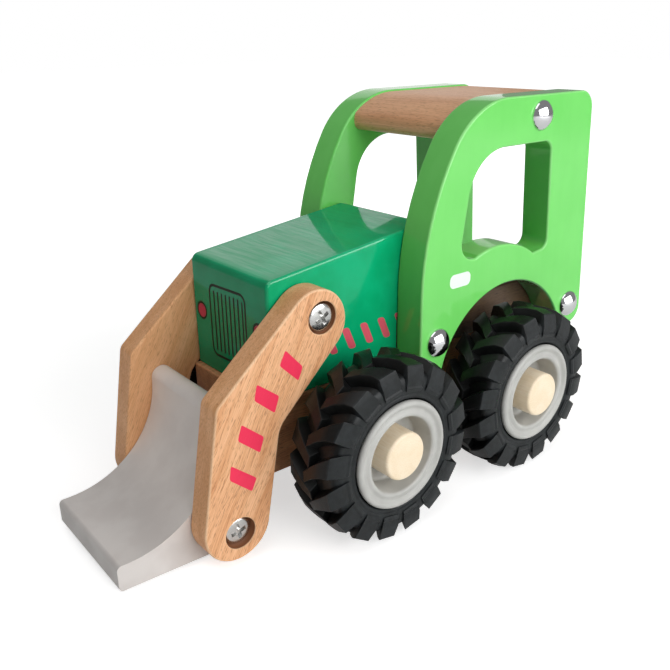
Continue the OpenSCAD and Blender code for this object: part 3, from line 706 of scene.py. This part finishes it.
# %% [markdown]
# ## Hood
# The hood is one block whose top rises to the cab and whose rear end laps over the base board. Its outline
# is drawn from the side, with a rounded front, and sawn to the body's width. The upper edges have a tight
# round, which the photograph shows as a thin bright line, and the lower ones are only eased where the hood
# sits on the chassis.

# %% Hood block
CHASSIS_TOP, BASE_TOP = 48.5, 65.5
HOOD_ROUND, HOOD_EDGE, HOOD_FOOT_EDGE = 3, 1.1, 0.5


def on_upper_edge(a, b):
    """Whether an edge of the hood is on its top or upright at its front."""
    return min(a.z, b.z) > CHASSIS_TOP + 1 or abs(a.z - b.z) > 20 and a.x > HOOD_REAR + 20


slope = math.degrees(math.atan2(HOOD_RISE, HOOD_FRONT - HOOD_REAR))
bm = sawn(
    (HOOD_FRONT, CHASSIS_TOP),
    ((HOOD_FRONT - HOOD_ROUND, HOOD_FRONT_Z - HOOD_ROUND), HOOD_ROUND, 0, 90 - slope),
    ((HOOD_REAR + HOOD_ROUND, HOOD_FRONT_Z + HOOD_RISE - HOOD_ROUND), HOOD_ROUND, 90 - slope, 180),
    (HOOD_REAR, BASE_TOP),
    (PANEL_FRONT, BASE_TOP),
    (PANEL_FRONT, CHASSIS_TOP),
)
soften(bm, HOOD_EDGE, on_upper_edge, segments=4)
soften(bm, HOOD_FOOT_EDGE, lambda a, b: max(a.z, b.z) < CHASSIS_TOP + 1, segments=2)
finish_piece(bm, "hood_block", "body", "hood_lacquer", "hood_paint", "hood")

# %% [markdown]
# ## Cab panels
# Each panel is a board with a curved front, a wheel arch and a window. A single face can't have a hole, so
# the outline is drawn as two halves that meet above and below the window. Merging their shared points
# makes them one board, and the edges are then rounded all the way round, window and arch included.

# %% Cab panels
PANEL_BOTTOM, PANEL_TOP, PANEL_T = 45, 141.3, 13
TOE_R = 8
TOE = (PANEL_FRONT - TOE_R, PANEL_BOTTOM + TOE_R)
BROW_R, BROW_TURN, BROW_DOWN = 99, 31, 66.3
BROW = (PANEL_FRONT - BROW_R, PANEL_TOP - BROW_DOWN)
BROW_END = on_circle(BROW, BROW_R, BROW_TURN)
CROWN_R = (PANEL_TOP - BROW_END[1]) / (1 - math.sin(math.radians(BROW_TURN)))
CROWN = on_circle(BROW_END, CROWN_R, BROW_TURN + 180)
PANEL_REAR, REAR_R = -52.3, 7
REAR_TURN = 180 - math.degrees(math.atan(PANEL_LEAN))
WINDOW_R = 4
BROW_MID, WINDOW_BROW_R = (4, 105.7), 18.3
LOBE, LOBE_R, LOBE_END = (18.2, 91.8), 6.5, -100


def rear_x(z):
    return PANEL_REAR + PANEL_LEAN * (z - PANEL_BOTTOM)


def window_rear_x(z):
    return WINDOW_REAR + PANEL_LEAN * (z - SILL_Z)


def angle_at_x(centre, radius, x):
    return math.degrees(math.acos((x - centre[0]) / radius))


def panel_board(bm, y):
    """Fills the two halves of a panel, which meet at x = 0, and joins them."""
    arch_foot = math.degrees(math.asin((PANEL_BOTTOM - ARCH[1]) / ARCH_R))
    arch_mid, swell_mid = angle_at_x(ARCH, ARCH_R, 0), angle_at_x(SWELL, SWELL_R, 0)
    lobe_start = shared_edge(BROW_MID, WINDOW_BROW_R, LOBE, LOBE_R, 1)
    swell_start = angle_at_x(SWELL, SWELL_R, LOBE[0] - LOBE_R / 3)
    low_z, high_z = PANEL_BOTTOM + REAR_R, PANEL_TOP - REAR_R
    sill_low, sill_high = SILL_Z + WINDOW_R, WINDOW_TOP - WINDOW_R
    window_low = (window_rear_x(sill_low) + WINDOW_R, sill_low)
    window_high = (window_rear_x(sill_high) + WINDOW_R, sill_high)
    front = draw(
        bm,
        (ARCH, ARCH_R, arch_mid, arch_foot), (TOE, TOE_R, -90, 0), (BROW, BROW_R, 0, BROW_TURN),
        (CROWN, CROWN_R, BROW_TURN, 90), (0, PANEL_TOP), (0, WINDOW_TOP),
        (BROW_MID, WINDOW_BROW_R, 90, lobe_start), (LOBE, LOBE_R, lobe_start, LOBE_END),
        (SWELL, SWELL_R, swell_start, swell_mid),
        y=y,
    )
    rear = draw(
        bm,
        (ARCH, ARCH_R, arch_mid, 180 - arch_foot), ((rear_x(low_z) + REAR_R, low_z), REAR_R, 270, REAR_TURN),
        ((rear_x(high_z) + REAR_R, high_z), REAR_R, REAR_TURN, 90), (0, PANEL_TOP), (0, WINDOW_TOP),
        (window_high, WINDOW_R, 90, REAR_TURN), (window_low, WINDOW_R, REAR_TURN, 270),
        (SWELL, SWELL_R, angle_at_x(SWELL, SWELL_R, window_low[0] + WINDOW_R), swell_mid),
        y=y,
    )
    fill_halves(bm, front, rear)


for side, name in SIDES:
    bm = bmesh.new()
    panel_board(bm, side * HALF_W)
    thicken(bm, list(bm.faces), side * PANEL_T)
    soften(bm, PANEL_EDGE)
    finish_piece(bm, f"cab_board_{name}", "body", "cab_lacquer", "cab_paint", f"cab_panel_{name}")

# %% [markdown]
# ## Roof
# The roof is a board between the panels, a little inside their outline, with a round front nose.

# %% Roof board
ROOF_INSET, ROOF_UNDER, ROOF_NOSE_R, ROOF_TURN, ROOF_EDGE = 0.6, 126.8, 3.5, 52, 0.4
roof_top = PANEL_TOP - ROOF_INSET
nose = on_circle(CROWN, CROWN_R - ROOF_INSET - ROOF_NOSE_R, ROOF_TURN)
rear_z = roof_top - REAR_R
bm = sawn(
    ((nose[0], ROOF_UNDER + ROOF_NOSE_R), ROOF_NOSE_R, -90, 0), (nose, ROOF_NOSE_R, 0, ROOF_TURN),
    (CROWN, CROWN_R - ROOF_INSET, ROOF_TURN, 90),
    ((rear_x(rear_z) + REAR_R + ROOF_INSET, rear_z), REAR_R, 90, REAR_TURN),
    (rear_x(ROOF_UNDER) + ROOF_INSET, ROOF_UNDER),
)
soften(bm, ROOF_EDGE, segments=2)
finish_piece(bm, "roof_board", "body", "roof_wood", "roof_wood", "roof")

# %% [markdown]
# ## Lift arms
# An arm is a bent board with two round ends, each with a counterbore for a screw's head, a little off the
# end's middle. The outer face is drawn as two halves that meet along the arm through both counterbores.
# Its rim is extruded back to make the board, and each counterbore's rim is extruded in to make the recess.

# %% Lift arms
TOP_END, TOP_R, FOOT_END, FOOT_R = (88.5, 76.1), 11.7, (122.4, 14.6), 12.2
ELBOW, ELBOW_R, NOTCH, NOTCH_R = (123.6, 56.0), 4, (104.6, 44.6), 10
ARM_MIDDLE = (113.8, 50.7)
LIFT_BORE_H, TILT_BORE_H, ARM_T, BORE_EDGE = 3.0, 4.2, 9.8, 0.35


def heading(a, b):
    return math.degrees(math.atan2(b[1] - a[1], b[0] - a[0]))


def arm_face(bm, y):
    top_front = shared_edge(TOP_END, TOP_R, ELBOW, ELBOW_R, 1)
    low_front = shared_edge(ELBOW, ELBOW_R, FOOT_END, FOOT_R, 1)
    foot_rear = shared_edge(NOTCH, 0, FOOT_END, FOOT_R, -1)
    top_rear = shared_edge(TOP_END, TOP_R, NOTCH, 0, -1)
    bend_turn = math.radians((top_rear - foot_rear) / 2)
    bend = on_circle(NOTCH, NOTCH_R / math.cos(bend_turn), (top_rear + foot_rear) / 2)
    pivot_end, foot_end = (top_front + top_rear + 360) / 2, (foot_rear + low_front) / 2
    pivot_in, foot_in = heading(PIVOT, ARM_MIDDLE), heading(FOOT, ARM_MIDDLE)
    front = draw(
        bm,
        (FOOT_END, FOOT_R, foot_end, low_front), (ELBOW, ELBOW_R, low_front, top_front),
        (TOP_END, TOP_R, top_front, pivot_end), (PIVOT, BORE_R, pivot_end, pivot_in), ARM_MIDDLE,
        (FOOT, BORE_R, foot_in, foot_end),
        y=y,
    )
    rear = draw(
        bm,
        (TOP_END, TOP_R, pivot_end, top_rear + 360), (bend, NOTCH_R, top_rear + 180, foot_rear + 180),
        (FOOT_END, FOOT_R, foot_rear, foot_end), (FOOT, BORE_R, foot_end + 360, foot_in), ARM_MIDDLE,
        (PIVOT, BORE_R, pivot_in + 360, pivot_end),
        y=y,
    )
    fill_halves(bm, front, rear)


def sink(bm, edges, depth):
    """Extrudes a rim of edges along y and closes it with a floor."""
    made = bmesh.ops.extrude_edge_only(bm, edges=edges)["geom"]
    verts = [g for g in made if isinstance(g, bmesh.types.BMVert)]
    bmesh.ops.translate(bm, verts=verts, vec=(0, depth, 0))
    floor = set(verts)
    fill(bm, [e for e in bm.edges if e.is_boundary and floor.issuperset(e.verts)])


def in_bore(point):
    """Whether a point lies on a counterbore's rim or inside it, in the side view."""
    return min(math.dist((point.x, point.z), c) for c in (PIVOT, FOOT)) < BORE_R + 0.1


def at_face(point):
    return abs(point.y) > ARM_OUTER_Y - 0.1


for side, name in SIDES:
    bm = bmesh.new()
    arm_face(bm, side * ARM_OUTER_Y)
    rims = [e for e in bm.edges if e.is_boundary]
    bores = [e for e in rims if in_bore(e.verts[0].co)]
    lift_bore = [e for e in bores if e.verts[0].co.z > ARM_MIDDLE[1]]
    tilt_bore = [e for e in bores if e.verts[0].co.z < ARM_MIDDLE[1]]
    sink(bm, [e for e in rims if not in_bore(e.verts[0].co)], -side * ARM_T)
    sink(bm, lift_bore, -side * LIFT_BORE_H)
    sink(bm, tilt_bore, -side * TILT_BORE_H)
    bmesh.ops.recalc_face_normals(bm, faces=bm.faces)
    soften(bm, ARM_EDGE, lambda a, b: not in_bore(a))
    soften(bm, BORE_EDGE, lambda a, b: at_face(a) and at_face(b), segments=2)
    finish_piece(bm, f"arm_{name}", "lift_arms", "arm_beech", "arm_wood", f"lift_arm_{name}")

# %% [markdown]
# ## Blade
# The blade is one shaped block: a round heel about its pivot, a hollow front face struck with a compass
# and a blunt lip. The ends show the block's full section, so their edges are only eased.

# %% Blade block
HEEL_R, LIP_R, LIP_X, LIP_UNDER, LIP_TOP = 10.9, 1.6, 158.6, 2.3, 11.5
SCOOP, SCOOP_R, BLADE_TOP_R, BLADE_EDGE = (156.2, 47), 35.5, 4, 0.8
bm = sawn(
    (FOOT, HEEL_R, 180, 270), ((LIP_X, LIP_UNDER + LIP_R), LIP_R, 270, 360),
    ((LIP_X, LIP_TOP - LIP_R), LIP_R, 0, 90), (SCOOP, SCOOP_R, 270, 180),
    ((SCOOP[0] - SCOOP_R - BLADE_TOP_R, SCOOP[1]), BLADE_TOP_R, 0, 180),
)
soften(bm, BLADE_EDGE)
finish_piece(bm, "blade_block", "blade", "blade_paint", "blade_paint", "blade")

# %% [markdown]
# ## Turned pieces
# Caps, rims, tyre casings, bolts and screws are round about an axis, so each is one section turned with
# spin. A section is drawn as distances from the axis and along it, on a wheel that lies at the origin, and
# then stood on its axle.


# %% Turn a section
TURN_STEPS = 72


def turned(section, steps=TURN_STEPS):
    """Turns a section of (radius, along) points about the y axis."""
    bm = bmesh.new()
    verts = [bmesh.ops.create_vert(bm, co=(r, along, 0))["vert"][0] for r, along in section]
    edges = [bm.edges.new(pair) for pair in zip(verts, verts[1:])]
    bmesh.ops.spin(
        bm, geom=verts + edges, cent=(0, 0, 0), axis=(0, 1, 0), angle=math.tau, steps=steps, use_merge=True,
    )
    bmesh.ops.remove_doubles(bm, verts=bm.verts, dist=SAME_POINT / 2)
    bmesh.ops.recalc_face_normals(bm, faces=bm.faces)
    return bm


def arc_points(centre, radius, start, end, steps):
    return [on_circle(centre, radius, start + (end - start) * i / steps) for i in range(steps + 1)]


def stand(bm, x, side, z, y):
    """Moves what was turned at the origin out by y to its side, mirrored for the right side."""
    if side < 0:
        bmesh.ops.scale(bm, verts=bm.verts, vec=(1, -1, 1))
        bmesh.ops.recalc_face_normals(bm, faces=bm.faces)
    bmesh.ops.translate(bm, verts=bm.verts, vec=(x, side * y, z))


# %% [markdown]
# ## Wheels
# A wheel is a lugged rubber tyre on a dished plastic rim, held on its axle by a turned wooden cap. The
# rim's section has a broad rolled lip with a fine groove, a sloping wall and a flat floor around the cap.
# The tyre's casing has a raised ring beside the rim. Rim and tyre are drawn from the wheel's middle, but
# the cap from the toy's, because it sits on the axle's end and all four stand out equally.

# %% Wheel sections
RIM_R, RIM_BACK, RIM_FLOOR, RIM_WALL = 19.3, -9, 2.0, 2.4
BEAD_R, DISH_R, BOSS_R, AXLE_R = 17.3, 11.5, 5.5, 3.06
CAP_R, CAP_BACK, CAP_FACE, CAP_ROUND = 8.5, 48.8, 58.8, 1.1
web_back = RIM_FLOOR - RIM_WALL
RIM_SECTION = (
    [(AXLE_R, RIM_BACK), (BOSS_R, RIM_BACK), (BOSS_R, web_back), (BEAD_R - RIM_WALL, web_back)]
    + [(BEAD_R - RIM_WALL, RIM_BACK), (BEAD_R, RIM_BACK), (BEAD_R, 9.2), (RIM_R - 0.5, 9.2)]
    + arc_points((RIM_R - 1.3, 10.1), 1.3, -45, 95, 9)
    + [(17.4, 11.15), (17.0, 10.8), (16.6, 10.5), (16.1, 10.4), (15.6, 10.6)]
    + arc_points((14.6, 9.9), 1.1, 65, 170, 7)
    + [(13.0, 5.2)]
    + arc_points((DISH_R, RIM_FLOOR + 1.2), 1.2, 15, -90, 6)
    + [(AXLE_R, RIM_FLOOR), (AXLE_R, RIM_BACK)]
)
CAP_SECTION = (
    [(0, CAP_BACK), (CAP_R, CAP_BACK)]
    + arc_points((CAP_R - CAP_ROUND, CAP_FACE - CAP_ROUND), CAP_ROUND, 0, 90, 6)
    + [(0, CAP_FACE)]
)
bead = BEAD_R + 0.02
side_wall = [
    (bead, 8.4), (RIM_R + 0.15, 8.4), (RIM_R + 0.3, 9.4), (20.0, 10.1), (20.7, 10.2), (21.1, 9.9),
    (21.5, 9.9), (22.4, 10.2), (23.4, 10.4),
]
shoulder = [(25.2, 10.3), (26.8, 9.9), (27.9, 9.0), (28.4, 7.4), (28.7, 4.0), (28.8, 0)]
far_half = [(r, -along) for r, along in reversed(side_wall + shoulder[:-1])]
CASING_SECTION = side_wall + shoulder + far_half + side_wall[:1]
print("sections", len(RIM_SECTION), len(CAP_SECTION), len(CASING_SECTION), "points")

# %% [markdown]
# ## Tread
# The tread is two staggered rows of slanted lugs. A lug is a bar that bends over the tyre's crown and
# shoulder, so it is made like a boat's hull: a few four-sided ribs are set up across the tyre, each with
# its own height, and bridged. Spin with duplicates then repeats the finished lug round the axle.

# %% One row of lugs
LUG_COUNT, LUG_LEAN, LUG_CURVE = 16, 0.80, 0.022
LUG_EDGE = 0.25
# Ribs across the tyre: the place, then the radius and half width of the lug's top and of its root
LUG_RIBS = (
    (-1.4, (32.2, 1.9), (28.2, 3.5)), (3.0, (32.5, 2.1), (28.3, 3.7)), (6.5, (32.3, 2.5), (28.0, 4.1)),
    (9.7, (31.3, 3.4), (27.0, 4.6)), (10.95, (26.4, 4.4), (23.6, 4.6)), (10.5, (23.4, 4.5), (22.4, 4.6)),
)
CROWN_MEAN_R = 30


def lug_row(side, turn):
    """One row of lugs on one side of the tread, the first of them at the angle turn in degrees."""
    bm = bmesh.new()
    ribs = []
    for across, top, root in LUG_RIBS:
        lean = LUG_LEAN * across - LUG_CURVE * across**2
        verts = []
        for (radius, half), hand in ((top, -1), (top, 1), (root, 1), (root, -1)):
            aside = hand * half
            x, z = on_circle((0, 0), radius, turn + math.degrees((aside + lean) / CROWN_MEAN_R))
            verts.append(bmesh.ops.create_vert(bm, co=(x, side * across, z))["vert"][0])
        ribs.append([bm.edges.new(pair) for pair in zip(verts, verts[1:] + verts[:1])])
    for one, following in zip(ribs, ribs[1:]):
        bmesh.ops.bridge_loops(bm, edges=one + following)
    fill(bm, ribs[0])
    fill(bm, ribs[-1])
    bmesh.ops.recalc_face_normals(bm, faces=bm.faces)
    soften(bm, LUG_EDGE, segments=2)
    bmesh.ops.spin(
        bm, geom=[*bm.verts, *bm.edges, *bm.faces], cent=(0, 0, 0), axis=(0, -1, 0), use_duplicate=True,
        angle=math.tau * (LUG_COUNT - 1) / LUG_COUNT, steps=LUG_COUNT - 1,
    )
    return bm


def add(bm, other):
    """Adds another mesh to this one."""
    carrier = bpy.data.meshes.new("carrier")
    other.to_mesh(carrier)
    other.free()
    bm.from_mesh(carrier)
    bpy.data.meshes.remove(carrier)


# %% [markdown]
# ## Four wheels
# The left and right wheels are mirror images. Each tyre and rim rides on its own wheel body, so that it
# spins, and the cap stays with the axle.

# %% Build the wheels
for end, x in (("front", WHEEL_BASE), ("rear", 0)):
    for side, name in SIDES:
        wheel = f"{end}_{name}"

        bm = turned(CASING_SECTION)
        add(bm, lug_row(1, 0))
        add(bm, lug_row(-1, 180 / LUG_COUNT))
        stand(bm, x, side, AXLE_Z, WHEEL_Y[end])
        finish_piece(bm, f"rubber_{wheel}", f"wheel_{wheel}", "tyre_rubber", "tyre_rubber", f"tyre_{wheel}")

        bm = turned(RIM_SECTION)
        stand(bm, x, side, AXLE_Z, WHEEL_Y[end])
        finish_piece(bm, f"dish_{wheel}", f"wheel_{wheel}", "rim_plastic", "rim_plastic", f"rim_{wheel}",
                     round_piece=True)

        bm = turned(CAP_SECTION)
        stand(bm, x, side, AXLE_Z, 0)
        finish_piece(bm, f"cap_{wheel}", "body", "cap_wood", "cap_wood", f"hub_cap_{wheel}", round_piece=True)

# %% [markdown]
# ## Bolts
# The panels are held by chrome bolts with low domed heads. Only the heads show. A dome is an arc turned
# about the bolt's axis, on a thin straight edge.

# %% Domed bolts
BOLT_R, BOLT_H, BOLT_EDGE, BOLT_STEPS = 5.5, 3.4, 0.5, 48
BOLT_PLACES = ((35.9, 57.0), (-42.7, 54.5), (-15.3, 133.8))
dome_h = BOLT_H - BOLT_EDGE
dome_r = (BOLT_R**2 + dome_h**2) / (2 * dome_h)
dome_start = math.degrees(math.asin((dome_r - dome_h) / dome_r))
BOLT_SECTION = [(0, 0), (BOLT_R, 0)] + arc_points((0, BOLT_H - dome_r), dome_r, dome_start, 90, 12)
for side, name in SIDES:
    bm = bmesh.new()
    for x, z in BOLT_PLACES:
        head = turned(BOLT_SECTION, BOLT_STEPS)
        stand(head, x, side, z, PANEL_OUTER_Y)
        add(bm, head)
    finish_piece(bm, f"bolt_heads_{name}", "body", "bolt_chrome", "bolt_chrome", f"panel_bolts_{name}",
                 round_piece=True)

# %% [markdown]
# ## Screws
# The arms and the blade turn on pan-head screws with a cross recess. The head is turned, and the recess is
# cut with a Boolean from a cross of two tapered bars, because a cut is how the real one is punched. The
# result is applied, so the cutting tool doesn't stay in the scene.

# %% Pan-head screws
SCREW_R, SCREW_H, SCREW_PLAY, SCREW_STEPS = 4.9, 2.6, 0.2, 40
SHANK_R, SHANK_L = 2.0, 4
CROSS_L, CROSS_W, CROSS_H = 4.0, 0.85, 1.5
TAPER_L, TAPER_W = 0.45, 0.7
SCREW_SECTION = (
    [(0, -SHANK_L), (SHANK_R, -SHANK_L), (SHANK_R, 0), (SCREW_R - 0.2, 0), (SCREW_R, 0.3), (SCREW_R, 1.3)]
    + [(4.78, 1.7), (4.45, 2.02), (3.6, 2.32), (2.0, 2.52), (0, SCREW_H)]
)


def cross_cutter():
    bm = bmesh.new()
    for quarter in (0, 1):
        bar = bmesh.ops.create_cube(bm, size=2)["verts"]
        bmesh.ops.scale(bm, verts=bar, vec=(CROSS_L, CROSS_H, CROSS_W))
        for vert in bar:
            if vert.co.y < 0:
                vert.co.x *= TAPER_L
                vert.co.z *= TAPER_W
        bmesh.ops.rotate(bm, verts=bar, matrix=Matrix.Rotation(quarter * math.pi / 2, 3, "Y"))
        bmesh.ops.translate(bm, verts=bar, vec=(0, SCREW_H, 0))
    return as_object(bm, "cross_cutter")


def screw_head():
    """One screw with its recess cut, turned at the origin with its head towards +y."""
    head, cutter = as_object(turned(SCREW_SECTION, SCREW_STEPS), "screw_blank"), cross_cutter()
    cut = head.modifiers.new("cross", "BOOLEAN")
    cut.operation, cut.solver, cut.object, cut.use_self = "DIFFERENCE", "EXACT", cutter, True
    done = bpy.data.meshes.new_from_object(head.evaluated_get(bpy.context.evaluated_depsgraph_get()))
    bm = bmesh.new()
    bm.from_mesh(done)
    # An object goes with its mesh
    for spent in (head.data, cutter.data, done):
        bpy.data.meshes.remove(spent)
    return bm


SCREW_TURNS = {("body", 1): 0.5, ("body", -1): 1.1, ("blade", 1): 0.2, ("blade", -1): 0.9}
for body, node, (x, z), depth in (
    ("body", "lift_pivot_screws", PIVOT, LIFT_BORE_H),
    ("blade", "blade_pivot_screws", FOOT, TILT_BORE_H),
):
    bm = bmesh.new()
    for side in (1, -1):
        one = screw_head()
        bmesh.ops.rotate(one, verts=one.verts, matrix=Matrix.Rotation(SCREW_TURNS[body, side], 3, "Y"))
        stand(one, x, side, z, ARM_OUTER_Y - depth + SCREW_PLAY)
        add(bm, one)
    name = node.replace("pivot_screws", "screws")
    finish_piece(bm, name, body, "screw_zinc", "steel", node, round_piece=True)

# %% [markdown]
# ## CAD pieces that stay
# The axle rods, spacers and dowels are plain turned parts that hardly show, so the CAD solids stay and
# only get finishes.

# %% Finishes on CAD pieces
KEPT = {
    "front_axle": "axle_steel", "rear_axle": "axle_steel", "axle_spacers": "plain_wood",
    "hood_dowels": "plain_wood", "base_dowels": "plain_wood",
}
for node, finish in KEPT.items():
    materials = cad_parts[node].data.materials
    materials.clear()
    materials.append(FINISHES[finish])
print("CAD pieces kept:", *KEPT)

# %% [markdown]
# ## Floor and light
# The photograph was lit by one broad source on the toy's left, with white all round, and cut out on white.
# The floor is a pale plane that takes a soft shadow. For camera and mirror rays it also glows a little, so
# that it reads as white without more light on the toy. The world does the same.

# %% Floor
FLOOR_HALF, FLOOR_GREY = 4, (0.86, 0.86, 0.86, 1)
NEAR_GLOW, FAR_GLOW, FLOOR_MIRRORED = 0.60, 0.95, 0.15
NEAR_TOY, FAR_FROM_TOY = 0.15, 0.7
floor_bm = bmesh.new()
bmesh.ops.create_grid(floor_bm, x_segments=1, y_segments=1, size=FLOOR_HALF)
floor = as_object(floor_bm, "floor")
paper, shader, place = new_material(
    "floor_paper", Base_Color=FLOOR_GREY, Roughness=0.9, Specular_IOR_Level=0, Emission_Strength=1,
)
away = place.node("VectorMath", {"operation": "LENGTH"}, {0: place}, "Value").over(NEAR_TOY, FAR_FROM_TOY)


def seen_by(tree, mirrored):
    """1 for camera rays and rays through glass, and the share mirrored for mirror rays."""
    path = tree.nodes.new("ShaderNodeLightPath")
    seen = Wire(path.outputs["Is Camera Ray"]).higher(Wire(path.outputs["Is Transmission Ray"]))
    return seen.higher(Wire(path.outputs["Is Glossy Ray"]) * mirrored)


glow = seen_by(paper.node_tree, FLOOR_MIRRORED) * (NEAR_GLOW + away * (FAR_GLOW - NEAR_GLOW))
paper.node_tree.links.new(shader.inputs["Emission Color"], glow.mix((0, 0, 0, 1), (1, 1, 1, 1)).socket)
floor.data.materials.append(paper)

# %% World and lamps
WORLD_FILL, WORLD_MIRRORED = 0.17, 0.25
world = bpy.data.worlds.new("studio")
bpy.context.scene.world = world
world.use_nodes = True
background = world.node_tree.nodes["Background"]
background.inputs["Color"].default_value = (1, 1, 1, 1)
sky = seen_by(world.node_tree, WORLD_MIRRORED).higher(WORLD_FILL)
world.node_tree.links.new(background.inputs["Strength"], sky.socket)


def softbox(name, place, aim, size, watts):
    lamp = bpy.data.lights.new(name, "AREA")
    lamp.shape, lamp.size, lamp.size_y, lamp.energy = "RECTANGLE", *size, watts
    holder = bpy.data.objects.new(name, lamp)
    bpy.context.scene.collection.objects.link(holder)
    aim_turn = (Vector(aim) - Vector(place)).to_track_quat("-Z", "Y")
    holder.matrix_world = Matrix.Translation(place) @ aim_turn.to_matrix().to_4x4()
    holder.visible_camera = False


softbox("key", (-0.2, 0.95, 0.42), (0, 0, 0.06), (1.2, 0.7), 10.0)
softbox("top", (0.3, 0.1, 1.05), (0, 0, 0.05), (0.8, 0.8), 2.7)
softbox("backdrop", (-0.45, -0.75, 0.34), (-0.45, 0, 0.34), (1.1, 0.64), 1.45)
view = bpy.context.scene.view_settings
view.view_transform = "Standard"
print("world fill", WORLD_FILL)
